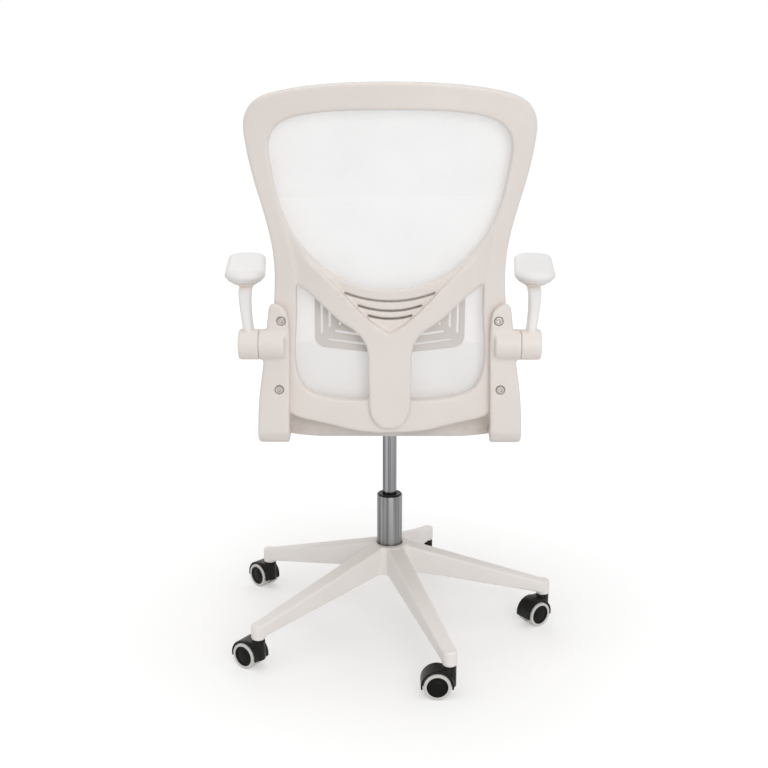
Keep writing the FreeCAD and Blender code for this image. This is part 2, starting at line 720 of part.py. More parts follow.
def on_coil(turn):
    # Point on the spring's middle line and its direction there.
    rise = (SPRING_LENGTH - 2 * SPRING_WIRE_R) / SPRING_TURNS
    a = 2 * math.pi * turn
    height = knob_top + SPRING_WIRE_R + rise * turn
    at = V(SPRING_R * math.cos(a), TENSION_Y + SPRING_R * math.sin(a), height)
    way = V(-SPRING_R * math.sin(a), SPRING_R * math.cos(a), rise / (2 * math.pi))
    return at, way.normalize()


def print_spring_gap():
    steps = 48
    points = [on_coil(k / steps)[0] for k in range(steps * SPRING_TURNS + 1)]
    pairs = [(i, j) for i in range(len(points)) for j in range(i + steps // 2, len(points))]
    apart = min((points[i] - points[j]).Length for i, j in pairs)
    print("least gap of the spring to itself, mm:", round(apart - 2 * SPRING_WIRE_R, 2))


def tilt_spring():
    # Coil round the tension bolt, its wire one unbroken tube.
    edges = []
    for k in range(4 * SPRING_TURNS):
        edges += blended_arcs(*on_coil(k / 4), *on_coil((k + 1) / 4))
    start, start_way = on_coil(0)
    section = Part.Wire([Part.makeCircle(SPRING_WIRE_R, start, start_way)])
    shell = Part.BRepOffsetAPI.MakePipeShell(Part.Wire(edges))
    shell.add(section)
    shell.build()
    shell.makeSolid()
    print_spring_gap()
    return shell.shape()


def tension_bolt():
    return upright(TENSION_BOLT_R, knob_top - KNOB_H / 2, boss_bottom + BOLT_IN_BOSS, 0, TENSION_Y)


def tension_knob():
    low = knob_top - KNOB_H
    knob = upright(KNOB_R, low, knob_top, 0, TENSION_Y)
    knob = knob.makeFillet(KNOB_ROUND, round_edges(knob))
    for k in range(KNOB_FLUTES):
        a = 2 * math.pi * k / KNOB_FLUTES
        x = (KNOB_R + KNOB_FLUTE_OUT) * math.cos(a)
        y = TENSION_Y + (KNOB_R + KNOB_FLUTE_OUT) * math.sin(a)
        knob = knob.cut(upright(KNOB_FLUTE_R, low - OVER, knob_top + OVER, x, y))
    return knob.cut(upright(TENSION_BOLT_R, knob_top - KNOB_H / 2, knob_top + OVER, 0, TENSION_Y))


def release_lever():
    # Cross rod with a finger over the valve pin.
    shaft = cross_rod(LEVER_R, LEVER_END, LEVER_INNER, LEVER_Y, lever_z)
    finger = box(FINGER_RIGHT, FINGER_LEFT, LEVER_Y, PIN_R + FINGER_PAST, finger_bottom,
                 finger_bottom + FINGER_H)
    return shaft.fuse(finger).removeSplitter()


def lock_collar():
    outer = cross_rod(COLLAR_R, collar_inner, collar_inner - COLLAR_W, LEVER_Y, lever_z)
    return outer.cut(cross_rod(LEVER_R + RUN_GAP, 0, LEVER_END, LEVER_Y, lever_z))


def lever_handle():
    z0 = lever_z - HANDLE_H / 2
    paddle = box(LEVER_END - HANDLE_PAST, LEVER_END + HANDLE_GRIP, LEVER_Y - HANDLE_AHEAD,
                 LEVER_Y + HANDLE_BEHIND, z0, z0 + HANDLE_H)
    paddle = paddle.makeFillet(HANDLE_ROUND, paddle.Edges)
    return paddle.cut(cross_rod(LEVER_R, 0, LEVER_END, LEVER_Y, lever_z))


# Seat

def seat_plate():
    # Plate under the pan with two ears on the tilt pin and a threaded boss for the tension bolt.
    plate = box(-PLATE_HALF_W, PLATE_HALF_W, plate_front, PLATE_REAR, plate_bottom, pan_bottom)
    ear = box(ear_inner, ear_outer, PIVOT_Y - PIVOT_EYE_R, PIVOT_Y + PIVOT_EYE_R, pivot_z, plate_bottom)
    eye = cross_rod(PIVOT_EYE_R, ear_inner, ear_outer, PIVOT_Y, pivot_z)
    boss = upright(BOSS_R, boss_bottom, plate_bottom, 0, TENSION_Y)
    whole = joined([plate, ear, eye, mirrored(ear), mirrored(eye), boss])
    reach = ear_outer + OVER
    pin_way = cross_rod(PIVOT_PIN_R + RUN_GAP, -reach, reach, PIVOT_Y, pivot_z)
    thread_end = boss_bottom + BOLT_IN_BOSS + END_ROOM
    thread = upright(TENSION_BOLT_R + RUN_GAP, boss_bottom - OVER, thread_end, 0, TENSION_Y)
    whole = whole.cut([pin_way, thread])
    return whole.cut([upright(SEAT_BOLT_R + BOLT_GAP, plate_bottom - OVER, pan_bottom + OVER, x, y)
                      for x, y in plate_bolt_places()])


def plate_bolt_places():
    rows = (plate_front + PLATE_BOLT_INSET, PLATE_REAR - PLATE_BOLT_INSET)
    return [(x, y) for x in (-PLATE_BOLT_X, PLATE_BOLT_X) for y in rows]


def foot_bolt_places():
    return [(x, SEAT_REAR - inset) for x in (-FOOT_BOLT_X, FOOT_BOLT_X) for inset in FOOT_BOLT_IN]


def hung_bolt(shank_r, head_r, head_z, x, y):
    # Bolt driven up into the pan, its head below head_z.
    head = upright(head_r, head_z - BOLT_HEAD_H, head_z, x, y)
    shank = upright(shank_r, head_z, pan_top - BOLT_COVER, x, y)
    return head.fuse(shank).removeSplitter()


def seat_bolts():
    head_r = SEAT_BOLT_R * SCREW_HEAD
    return group([hung_bolt(SEAT_BOLT_R, head_r, plate_bottom, x, y) for x, y in plate_bolt_places()])


def bracket_bolts():
    return group([hung_bolt(FOOT_BOLT_R, BOLT_HEAD_R, foot_bottom, x, y) for x, y in foot_bolt_places()])


def seat_outline(inset, z):
    # The seat seen from above, drawn in by inset.
    front_x = SEAT_HALF_W - inset
    rear_x = front_x - SEAT_TAPER
    front_y = SEAT_FRONT + inset * FRONT_EASE
    rear_y = SEAT_REAR - inset
    shrink = 1 - inset / SEAT_HALF_W
    corners = [V(rear_x, rear_y, z), V(-rear_x, rear_y, z), V(-front_x, front_y, z), V(front_x, front_y, z)]
    radii = [SEAT_REAR_CORNER, SEAT_REAR_CORNER, SEAT_CORNER, SEAT_CORNER]
    return rounded_loop(corners, [r * shrink for r in radii])


def seat_pan():
    pan = Part.Face(seat_outline(PAN_INSET, pan_bottom)).extrude(V(0, 0, PAN_SHEET))
    hole_end = pan_top - BOLT_COVER + END_ROOM
    holes = []
    for r, places in ((SEAT_BOLT_R, plate_bolt_places()), (FOOT_BOLT_R, foot_bolt_places())):
        holes += [upright(r + BOLT_GAP, pan_bottom - OVER, hole_end, x, y) for x, y in places]
    return pan.cut(holes)


def seat_cushion():
    # Crowned pad whose rim wraps the pan's edge and lets the two feet through behind.
    layers = [seat_outline(RIM_INSET, seat_rim), seat_outline(0, seat_rim + RIM_RISE)]
    for k in range(CROWN_STEPS + 1):
        turn = math.pi / 2 * k / CROWN_STEPS
        inset = CROWN_REACH * (1 - math.cos(turn) ** (2 / CROWN_SHAPE))
        rise = SIDE_RISE + CROWN_RISE * math.sin(turn) ** (2 / CROWN_SHAPE)
        layers.append(seat_outline(inset, seat_rim + rise))
    pad = Part.makeLoft(layers, True, True)
    low = seat_rim - FAR_OVER
    hollow = Part.Face(seat_outline(PAN_INSET - SIDE_GAP, low)).extrude(V(0, 0, pan_top - low))
    pad = pad.cut(hollow)
    notch = box(FOOT_TIP_X[0] - NOTCH_INNER, foot_root_x[1] + NOTCH_OUTER, 0, SEAT_REAR + FAR_OVER,
                low, pan_bottom + NOTCH_RISE)
    return pad.cut([notch, mirrored(notch)])


# Back

def back_face(x, z):
    # Front face of the frame: leans back above the bend, sides come forward.
    lean = math.tan(math.radians(RECLINE)) * BEND * math.log(1 + math.exp((z - bend_z) / BEND))
    up = (z - back_low) / (back_top - back_low)
    wrap = WRAP_LOW + (WRAP_TOP - WRAP_LOW) * up
    return back_y + lean - wrap * (x / WRAP_AT) ** 2


def back_sheet(offset):
    # Surface that lies behind the frame's front face by offset(x).
    side = WRAP_AT + SHEET_SIDE
    low = back_low - SHEET_BELOW
    rows = [low + (back_top + SHEET_ABOVE - low) * j / (SHEET_ROWS - 1) for j in range(SHEET_ROWS)]
    grid = []
    for i in range(SHEET_COLUMNS):
        x = 2 * side * i / (SHEET_COLUMNS - 1) - side
        grid.append([V(x, back_face(x, z) + offset(x), z) for z in rows])
    surface = Part.BSplineSurface()
    surface.interpolate(grid)
    return surface.toShape()


def slab(front, back):
    # Curved plate between two distances behind the frame's front face.
    return back_sheet(lambda x: front).extrude(V(0, back - front, 0))


def prism(wire):
    # Everything behind and before a closed outline seen from behind.
    return Part.Face(wire).extrude(V(0, back_y + back_top - back_low, 0))


def rise_of_arms(x):
    # The spine stands proud and its two arms sink into the ring at their ends.
    t = min(max((ARMS_SUNK_X - abs(x)) / ARMS_FADE, 0.0), 1.0)
    return RING_T - ARMS_SINK + (ARMS_RISE + ARMS_SINK) * t * t * (3 - 2 * t)


def arms_slab():
    front = back_sheet(lambda x: arms_front)
    back = back_sheet(rise_of_arms)
    sides = [Part.makeRuledSurface(a, b) for a, b in zip(front.Edges, back.Edges)]
    return Part.Solid(Part.makeShell([front, back] + sides))


def mirrored_loop(half):
    # Closed outline of straight and smooth stretches: half is a list of point lists, joined end to end.
    edges = []
    for points in half:
        near = [back_point(x, up) for x, up in points]
        far = [V(-p.x, 0, p.z) for p in near]
        edges += [smooth_edge(near), smooth_edge(far)]
    return Part.Wire(Part.__sortEdges__(edges))


def frame_outline(inset):
    # The frame's outline drawn in on every side, by about inset.
    middle = (FRAME_OUTLINE[0][1] + FRAME_OUTLINE[-1][1]) / 2
    in_x = 1 - inset / WRAP_AT
    in_z = 1 - 2 * inset / (back_top - back_low)
    half = [(x * in_x, middle + (up - middle) * in_z) for x, up in FRAME_OUTLINE]
    return prism(smooth_loop(both_halves(half)))


def arms_outline():
    return mirrored_loop([ARM_INNER_EDGE, [ARM_INNER_EDGE[-1], ARM_OUTER_EDGE[0]], ARM_OUTER_EDGE])


def web_outline():
    return mirrored_loop([WINDOW_ARC, [WINDOW_ARC[-1], WEB_LOWER[0]], WEB_LOWER])


def back_bolt_places():
    return [(side * x, pan_bottom + up) for side in (1, -1) for x, up in BACK_BOLTS]


def screw_places():
    return [(x, pan_bottom + up) for x in (-SCREW_X, SCREW_X) for up in SCREW_UP]


def frame_ring():
    opening = prism(smooth_loop(both_halves(RING_OPENING)))
    return slab(0, RING_T).common(frame_outline(0).cut(opening))


def back_frame():
    # Ring that holds the mesh, with the holes for the brackets' bolts.
    holes = []
    for x, z in back_bolt_places():
        y = back_face(x, z) + RING_T
        front = y - BACK_BOLT_DEPTH - END_ROOM
        holes.append(depth_rod(BACK_BOLT_R + BOLT_GAP, x, z, front, y + FAR_OVER))
    return frame_ring().cut(holes)


def back_spine():
    # Y-shaped spine with two arms and the slotted web under the window, ending at the ring.
    web = slab(web_front, web_back).common(prism(web_outline())).cut(top_slots())
    arms = arms_slab().common(prism(arms_outline()))
    spine = joined([web, arms]).cut(frame_ring())
    holes = []
    for x, z in screw_places():
        y = back_face(x, z) + arms_front
        holes.append(depth_rod(SCREW_R + BOLT_GAP, x, z, y - FAR_OVER, y + SCREW_DEPTH + END_ROOM))
    return spine.cut(holes)


def mesh_rim():
    band = frame_outline(-RIM_OUT).cut(frame_outline(RIM_W - RIM_OUT))
    return slab(-SIDE_GAP - RIM_T, -SIDE_GAP).common(band)


def back_mesh():
    back = -SIDE_GAP - RIM_T
    return slab(back - MESH_T, back).common(frame_outline(0))


def straight_slot(x0, up0, x1, up1):
    # Round-ended slot between two points.
    start = back_point(x0, up0)
    end = back_point(x1, up1)
    across = end - start
    side = V(-across.z, 0, across.x).normalize() * (SLOT_W / 2)
    outlines = [Part.makePolygon([start + side, start - side, end - side, end + side, start + side])]
    outlines += [Part.Wire([Part.makeCircle(SLOT_W / 2, p, V(0, 1, 0))]) for p in (start, end)]
    return [prism(outline) for outline in outlines]


def arched_slot(half, up_end, up_middle):
    # Slot along an arc that hangs from its two ends.
    rise = V(0, 0, SLOT_W / 2)
    line = [back_point(-half, up_end), back_point(0, up_middle), back_point(half, up_end)]
    low = [p - rise for p in line]
    high = [p + rise for p in line]
    edges = [Part.Arc(*low).toShape(), Part.makeLine(low[2], high[2]), Part.Arc(*high).toShape(),
             Part.makeLine(low[0], high[0])]
    return prism(Part.Wire(Part.__sortEdges__(edges)))


def top_slots():
    return [arched_slot(*sizes) for sizes in LUMBAR_TOP_SLOTS]


def side_slots():
    slots = []
    for ends in LUMBAR_SIDE_SLOTS:
        for cut in straight_slot(*ends):
            slots += [cut, mirrored(cut)]
    return slots


def lumbar_outline():
    right = [(back_point(x, up), r) for x, up, r in LUMBAR_CORNERS]
    left = [(V(-p.x, 0, p.z), r) for p, r in right[1:-1]]
    whole = right + left[::-1]
    return rounded_loop([p for p, r in whole], [r for p, r in whole])


def lumbar_support():
    # Flexible plate between spine and mesh with three rings of slots.
    plate = slab(LUMBAR_FRONT, LUMBAR_FRONT + LUMBAR_T).common(prism(lumbar_outline()))
    plate = plate.cut(side_slots() + top_slots())
    for x, z in screw_places():
        y = back_face(x, z)
        plate = plate.cut(depth_rod(SCREW_R + BOLT_GAP, x, z, y - FAR_OVER, y + FAR_OVER))
    return plate


def lumbar_screws():
    screws = []
    for x, z in screw_places():
        y = back_face(x, z)
        front = y + LUMBAR_FRONT - SIDE_GAP
        head = depth_rod(SCREW_R * SCREW_HEAD, x, z, front - SCREW_HEAD_H, front)
        shank = depth_rod(SCREW_R, x, z, front, y + arms_front + SCREW_DEPTH)
        screws.append(head.fuse(shank).removeSplitter())
    return group(screws)


# Brackets

def bracket_upper():
    edges = [smooth_edge([back_point(x, up) for x, up in edge])
             for edge in (BRACKET_INNER_EDGE, BRACKET_TOP_EDGE, BRACKET_OUTER_EDGE,
                          [BRACKET_OUTER_EDGE[-1], BRACKET_INNER_EDGE[0]])]
    return slab(bracket_near, bracket_near + BRACKET_T).common(prism(Part.Wire(edges)))


def bracket_foot(root_y):
    # Flat foot under the pan, round at its front.
    tip_r = (FOOT_TIP_X[1] - FOOT_TIP_X[0]) / 2
    tip_x = (FOOT_TIP_X[1] + FOOT_TIP_X[0]) / 2
    front = SEAT_REAR - FOOT_LENGTH
    places = [(foot_root_x[0], root_y), (FOOT_TIP_X[0], front + tip_r), (tip_x, front),
              (FOOT_TIP_X[1], front + tip_r), (foot_root_x[1], root_y)]
    at = [V(x, y, foot_bottom) for x, y in places]
    plan = Part.Wire([Part.makeLine(at[0], at[1]), Part.Arc(at[1], at[2], at[3]).toShape(),
                      Part.makeLine(at[3], at[4]), Part.makeLine(at[4], at[0])])
    return Part.Face(plan).extrude(V(0, 0, FOOT_H))


def inner_fillet(root_y):
    # Round between the foot's top and the upright.
    r = BRACKET_INNER_BEND
    y = root_y - WRAP_LOW - r
    corner = box(foot_root_x[0], foot_root_x[1], y, root_y, pan_bottom - OVER, pan_bottom + r)
    return corner.cut(cross_rod(r, 0, SEAT_HALF_W, y, pan_bottom + r))


def rounding_cut(rear):
    # What is taken off to round the lower rear corner of a bracket.
    y = rear - BRACKET_BEND
    z = foot_bottom + BRACKET_BEND
    corner = box(0, SEAT_HALF_W, y, rear + FAR_OVER, foot_bottom - FAR_OVER, z)
    spare = box(0, SEAT_HALF_W, rear - ROUND_EASE, rear + FAR_OVER, z - ROUND_EASE_H, z)
    return corner.cut([cross_rod(BRACKET_BEND, 0, SEAT_HALF_W, y, z), spare])


def left_bracket():
    # Upright against the frame's side rail, a foot under the pan and a boss for the arm's axle.
    root_y = back_y + bracket_near
    boss = cross_rod(ARM_HUB_R, ARM_INNER - BRACKET_BOSS_W, ARM_INNER - SIDE_GAP, arm_y, arm_z)
    bracket = joined([bracket_upper(), bracket_foot(root_y), inner_fillet(root_y), boss])
    bracket = bracket.cut(slab(-FAR_OVER, bracket_near).common(frame_outline(-BRACKET_CLEAR)))
    bracket = bracket.cut(rounding_cut(root_y + BRACKET_T - WRAP_LOW))
    bracket = bracket.cut(cross_rod(ARM_AXLE_R, arm_axle_inner, ARM_INNER + OVER, arm_y, arm_z))
    for x, z in back_bolt_places()[:len(BACK_BOLTS)]:
        near = back_face(x, z) + bracket_near
        rear = near + BRACKET_T
        recess = depth_rod(BOLT_HEAD_R + RECESS_GAP, x, z, rear - RECESS_DEPTH, rear + FAR_OVER)
        hole = depth_rod(BACK_BOLT_R + BOLT_GAP, x, z, near - FAR_OVER, rear)
        bracket = bracket.cut([recess, hole])
    return bracket.cut([upright(FOOT_BOLT_R + BOLT_GAP, foot_bottom - OVER, pan_bottom + OVER, x, y)
                        for x, y in foot_bolt_places() if x > 0])


def back_bolts():
    bolts = []
    for x, z in back_bolt_places():
        face = back_face(x, z) + bracket_near + BRACKET_T - RECESS_DEPTH
        head = depth_rod(BOLT_HEAD_R, x, z, face, face + BOLT_HEAD_H)
        turns = [math.radians(60 * k) for k in range(7)]
        floor = face + BOLT_HEAD_H - HEX_DEPTH
        corners = [V(x + HEX_R * math.cos(a), floor, z + HEX_R * math.sin(a)) for a in turns]
        hexagon = Part.Face(Part.makePolygon(corners)).extrude(V(0, HEX_DEPTH + OVER, 0))
        shank = depth_rod(BACK_BOLT_R, x, z, back_face(x, z) + RING_T - BACK_BOLT_DEPTH, face)
        bolts.append(head.cut(hexagon).fuse(shank).removeSplitter())
    return group(bolts)


# Arms

def arm_axles():
    axle = cross_rod(ARM_AXLE_R, arm_axle_inner, arm_axle_outer, arm_y, arm_z)
    return group([axle, mirrored(axle)])


def arm_hub():
    hub = cross_rod(ARM_HUB_R, ARM_INNER, arm_outer, arm_y, arm_z)
    outer_edges = [edge for edge in round_edges(hub) if edge.CenterOfMass.x > (ARM_INNER + arm_outer) / 2]
    return hub.makeFillet(ARM_HUB_ROUND, outer_edges)


def arm_post():
    # Post that leans forward and sweeps outwards from the hub to the flange.
    foot = arm_z + POST_FOOT
    height = flange_bottom + POST_SINK - foot
    foot_x = (ARM_INNER + arm_outer) / 2 - POST_IN
    sweep = pad_x - POST_OUT - foot_x
    outlines = []
    for part, out, lean, w, d in POST:
        x = foot_x + out * sweep
        y = arm_y + lean
        outlines.append(rounded_rectangle(x - w / 2, x + w / 2, y - d / 2, y + d / 2, foot + part * height,
                                          w / POST_ROUND))
    return Part.makeLoft(outlines, True, False)


def long_outlines(front, rear, width, bottom, layers):
    # Round-ended layers on the pad's middle line, each drawn in by its inset.
    outlines = []
    for rise, inset in layers:
        half = width / 2 - inset
        outlines.append(rounded_rectangle(pad_x - half, pad_x + half, front + inset, rear - inset,
                                          bottom + rise, half * PAD_CORNER))
    return Part.makeLoft(outlines, True, False)


def toed_out(shape):
    # Turned outwards about the post's top.
    copy = shape.copy()
    copy.rotate(V(pad_x, post_top_y, 0), V(0, 0, 1), PAD_TOE_OUT)
    return copy


def arm_flange():
    flange = long_outlines(flange_front, flange_rear, FLANGE_W, flange_bottom, FLANGE_LAYERS)
    holes = [upright(PAD_SCREW_R + BOLT_GAP, flange_bottom - OVER, pad_bottom + OVER, pad_x, y)
             for y in pad_screw_places]
    return toed_out(flange.cut(holes))


def left_arm():
    # Hub on the axle, leaning post and the flange that carries the pad.
    arm = joined([arm_hub(), arm_post(), arm_flange()])
    bore_end = arm_axle_outer + SIDE_GAP
    return arm.cut(cross_rod(ARM_AXLE_R + RUN_GAP, ARM_INNER - OVER, bore_end, arm_y, arm_z))


def left_arm_pad():
    pad = long_outlines(pad_front, pad_rear, PAD_W, pad_bottom, PAD_LAYERS)
    hole_end = pad_bottom + PAD_SCREW_UP + END_ROOM
    return toed_out(pad.cut([upright(PAD_SCREW_R + BOLT_GAP, pad_bottom - OVER, hole_end, pad_x, y)
                             for y in pad_screw_places]))


def left_pad_screws():
    screws = []
    for y in pad_screw_places:
        head = upright(PAD_SCREW_R * SCREW_HEAD, flange_bottom - PAD_SCREW_HEAD_H, flange_bottom, pad_x, y)
        shank = upright(PAD_SCREW_R, flange_bottom, pad_bottom + PAD_SCREW_UP, pad_x, y)
        screws.append(head.fuse(shank).removeSplitter())
    return toed_out(group(screws))


os.makedirs("parts", exist_ok=True)

export("star_base", star_base())
export("caster_sleeves", caster_sleeves())
export("gas_outer_tube", gas_outer_tube())
export("guide_bush", guide_bush())
export("thrust_bearing", thrust_bearing())
export("piston_rod", piston_rod())
export("rod_clip", rod_clip())
export("bump_stop", bump_stop())
export("gas_cylinder", gas_cylinder())
export("release_pin", release_pin())
export("taper_socket", taper_socket())
export("mechanism_housing", mechanism_housing())
export("tilt_pin", tilt_pin())
export("tilt_spring", tilt_spring())
export("tension_bolt", tension_bolt())
export("tension_knob", tension_knob())
export("release_lever", release_lever())
export("lock_collar", lock_collar())
export("lever_handle", lever_handle())
export("seat_plate", seat_plate())
export("seat_bolts", seat_bolts())
export("seat_pan", seat_pan())
export("seat_cushion", seat_cushion())
export("bracket_bolts", bracket_bolts())
export("back_frame", back_frame())
export("back_spine", back_spine())
export("mesh_rim", mesh_rim())
export("back_mesh", back_mesh())
export("lumbar_support", lumbar_support())
export("lumbar_screws", lumbar_screws())
export("back_bolts", back_bolts())
export("arm_axles", arm_axles())

for name, left in (("bracket", left_bracket()), ("arm", left_arm()), ("arm_pad", left_arm_pad()),
                   ("pad_screws", left_pad_screws())):
    export("left_" + name, left)
    export("right_" + name, mirrored(left))

caster = [("hood", caster_hood()), ("stem", caster_stem()), ("wheel_a", caster_wheel(1)),
          ("wheel_b", caster_wheel(-1))]
for k in range(LEG_COUNT):
    for name, shape in caster:
        export("caster_%d_%s" % (k + 1, name), placed_caster(shape, k))
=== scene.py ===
import json
import math

import bmesh
import bpy
from mathutils import Matrix, Vector
from mathutils.bvhtree import BVHTree
from mathutils.kdtree import KDTree


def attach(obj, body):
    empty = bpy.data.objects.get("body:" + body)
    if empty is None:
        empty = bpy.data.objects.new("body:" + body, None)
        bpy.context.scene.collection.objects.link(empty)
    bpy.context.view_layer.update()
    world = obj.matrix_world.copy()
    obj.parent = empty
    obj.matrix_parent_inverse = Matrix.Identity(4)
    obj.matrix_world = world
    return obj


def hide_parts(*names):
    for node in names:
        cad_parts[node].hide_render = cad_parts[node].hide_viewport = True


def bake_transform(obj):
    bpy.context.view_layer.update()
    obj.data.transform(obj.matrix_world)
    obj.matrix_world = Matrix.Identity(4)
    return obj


# Mesh-back office chair seen from behind, in metres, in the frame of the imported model.

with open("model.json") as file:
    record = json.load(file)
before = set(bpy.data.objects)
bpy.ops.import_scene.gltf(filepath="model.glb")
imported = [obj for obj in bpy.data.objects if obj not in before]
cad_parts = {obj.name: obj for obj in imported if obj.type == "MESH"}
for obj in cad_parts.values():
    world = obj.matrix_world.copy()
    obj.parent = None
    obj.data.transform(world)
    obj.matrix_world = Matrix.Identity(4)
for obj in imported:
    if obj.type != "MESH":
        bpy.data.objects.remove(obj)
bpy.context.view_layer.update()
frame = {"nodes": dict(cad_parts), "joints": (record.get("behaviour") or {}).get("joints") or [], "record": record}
nodes = frame["nodes"]
record = frame["record"]
joints = {joint["name"]: joint for joint in frame["joints"]}
body_of = {node: body for body, group in record["behaviour"]["bodies"].items() for node in group}
arm_pivot = Vector(joints["left_arm_flip"]["pos_m"])

SIDES = ("left", "right")
BLACK = (0, 0, 0, 1)
WHITE = (1, 1, 1, 1)


# Small tools

WELD = 0.000002         # points closer than this are one point
CRISP_FADE = 0.006      # distance from a crisp place at which smoothing works in full
CRISP_ANGLE = 35        # degrees; sharper edges of hard pieces are shaded crisp
BREAK_ANGLE = 40        # degrees; sharper edges of hard pieces are broken


def colour(text):
    # Linear colour of a hex code.
    parts = [int(text[k:k + 2], 16) / 255 for k in (0, 2, 4)]
    linear = [c / 12.92 if c <= 0.04045 else ((c + 0.055) / 1.055) ** 2.4 for c in parts]
    return (*linear, 1.0)


def limited(value):
    return min(max(value, 0.0), 1.0)


def link(obj):
    bpy.context.scene.collection.objects.link(obj)
    return obj


def settle(obj):
    # Makes the result of an object's modifiers its mesh.
    graph = bpy.context.evaluated_depsgraph_get()
    mesh = bpy.data.meshes.new_from_object(obj.evaluated_get(graph))
    obj.modifiers.clear()
    obj.data = mesh
    return obj


def copy_nodes(group, name):
    # A welded copy of the meshes of some CAD nodes as one new object.
    mesh = bpy.data.meshes.new(name)
    form = bmesh.new()
    for node in group:
        form.from_mesh(nodes[node].data)
    bmesh.ops.remove_doubles(form, verts=form.verts, dist=WELD)
    form.to_mesh(mesh)
    form.free()
    return link(bpy.data.objects.new(name, mesh))


def surface(name, verts, faces):
    # A new object from points and faces, welded and with its faces turned one way.
    mesh = bpy.data.meshes.new(name)
    mesh.from_pydata(verts, [], faces)
    form = bmesh.new()
    form.from_mesh(mesh)
    bmesh.ops.remove_doubles(form, verts=form.verts, dist=WELD)
    bmesh.ops.recalc_face_normals(form, faces=form.faces)
    form.to_mesh(mesh)
    form.free()
    return link(bpy.data.objects.new(name, mesh))


def shade(obj, degrees=None):
    # Smooth shading, with edges sharper than the angle kept crisp.
    obj.data.polygons.foreach_set("use_smooth", [True] * len(obj.data.polygons))
    if degrees is not None:
        obj.data.set_sharp_from_angle(angle=math.radians(degrees))
    obj.data.update()


def stand_for(obj, material, *group):
    # Gives a piece its material and lets it stand for some CAD nodes.
    obj.data.materials.clear()
    obj.data.materials.append(material)
    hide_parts(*group)


def dress(obj, material, *group):
    # Puts a piece in the place of some CAD nodes of one body, which it rides on.
    stand_for(obj, material, *group)
    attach(obj, body_of[group[0]])


def resurface(obj, voxel):
    skin = obj.modifiers.new("skin", "REMESH")
    skin.mode = "VOXEL"
    skin.voxel_size = voxel
    return settle(obj)


def smooth_out(obj, rounds, group=""):
    ease = obj.modifiers.new("ease", "SMOOTH")
    ease.factor = 0.5
    ease.iterations = rounds
    ease.vertex_group = group
    return settle(obj)


def smooth_free(obj, rounds, distance):
    # Smooths an object all over except where the distance from its crisp places comes down to 0.
    free = obj.vertex_groups.new(name="free")
    for v in obj.data.vertices:
        free.add([v.index], limited(distance(v.co) / CRISP_FADE), "REPLACE")
    smooth_out(obj, rounds, "free")
    obj.vertex_groups.clear()
    smooth_out(obj, rounds=4)


def moulded(group, material, voxel, rounds):
    # A moulding with eased edges: the CAD shape resurfaced and smoothed.
    obj = copy_nodes(group, "moulded_" + group[0])
    resurface(obj, voxel)
    smooth_out(obj, rounds)
    shade(obj)
    dress(obj, material, *group)


def eased(node, material, width):
    # A pressed or machined piece: the CAD shape with its edges broken.
    obj = copy_nodes([node], "eased_" + node)
    edge = obj.modifiers.new("edge", "BEVEL")
    edge.width = width
    edge.segments = 2
    edge.limit_method = "ANGLE"
    edge.angle_limit = math.radians(BREAK_ANGLE)
    edge.use_clamp_overlap = True
    settle(obj)
    shade(obj, CRISP_ANGLE)
    dress(obj, material, node)


def rear_face(node):
    # A function for the point of a CAD node that is seen from behind at (x, z).
    mesh = nodes[node].data
    points = [v.co for v in mesh.vertices]
    tree = BVHTree.FromPolygons(points, [list(f.vertices) for f in mesh.polygons])
    return lambda x, z: tree.ray_cast(Vector((x, 1.0, z)), Vector((0, -1, 0)))[0]


def lathe(name, profile, steps):
    # A closed (radius, height) profile turned about local Z.
    verts = []
    faces = []
    count = len(profile)
    for k in range(steps):
        turn = 2 * math.pi * k / steps
        verts += [(r * math.cos(turn), r * math.sin(turn), h) for r, h in profile]
        nxt = (k + 1) % steps
        for i in range(count):
            j = (i + 1) % count
            faces.append((k * count + i, nxt * count + i, nxt * count + j, k * count + j))
    obj = surface(name, verts, faces)
    shade(obj, CRISP_ANGLE)
    return obj


def millimetres(profile):
    return [(r / 1000, h / 1000) for r, h in profile]


# Materials: scales are in features per metre, depths and pitches in metres

NOISE_LOW = 0.3         # most of a noise lies between these values
NOISE_HIGH = 0.7
FLOW_SCALE = 7.0        # flow marks of a moulding
GLOSS_SCALE = 35.0      # patches of gloss
GRAIN_SCALE = 900.0     # eroded grain of a mould
GRAIN_DEPTH = 0.0003
LINE_DEPTH = 0.0002     # drawn lines of metal
THREAD_DEPTH = 0.0003   # threads of the net
YARN_DEPTH = 0.0006     # yarns of the seat's cover
WOOD_DEPTH = 0.0004     # grain of the plywood
WAVE_REPEAT = math.pi / 10      # one band of a wave texture of scale 1
POST_FOOT = (0.663, 0.666)      # heights between which an arm turns whiter, and warm again
POST_HEAD = (0.719, 0.722)
NET_PITCH = 0.0021
NET_SLANT = math.radians(30)
NET_THROUGH = 0.3               # share of the light that a thread lets through
NET_CELL = (0.12, 0.24)         # wave heights between which an open cell ends
CLOTH_PITCH = 0.0016
CLOTH_TURN = (0.6, 0.4, 0.3)    # turned so that the yarns cross each face of the cushion


def blank(name):
    material = bpy.data.materials.new(name)
    material.use_nodes = True
    tree = material.node_tree
    return material, tree, tree.nodes["Principled BSDF"]


def add(tree, kind, **values):
    node = tree.nodes.new(kind)
    for name, value in values.items():
        node.inputs[name].default_value = value
    return node


def object_place(tree):
    return tree.nodes.new("ShaderNodeTexCoord").outputs["Object"]


def mapped(tree, place, **values):
    # A place scaled or turned.
    node = add(tree, "ShaderNodeMapping", **values)
    tree.links.new(place, node.inputs["Vector"])
    return node.outputs["Vector"]


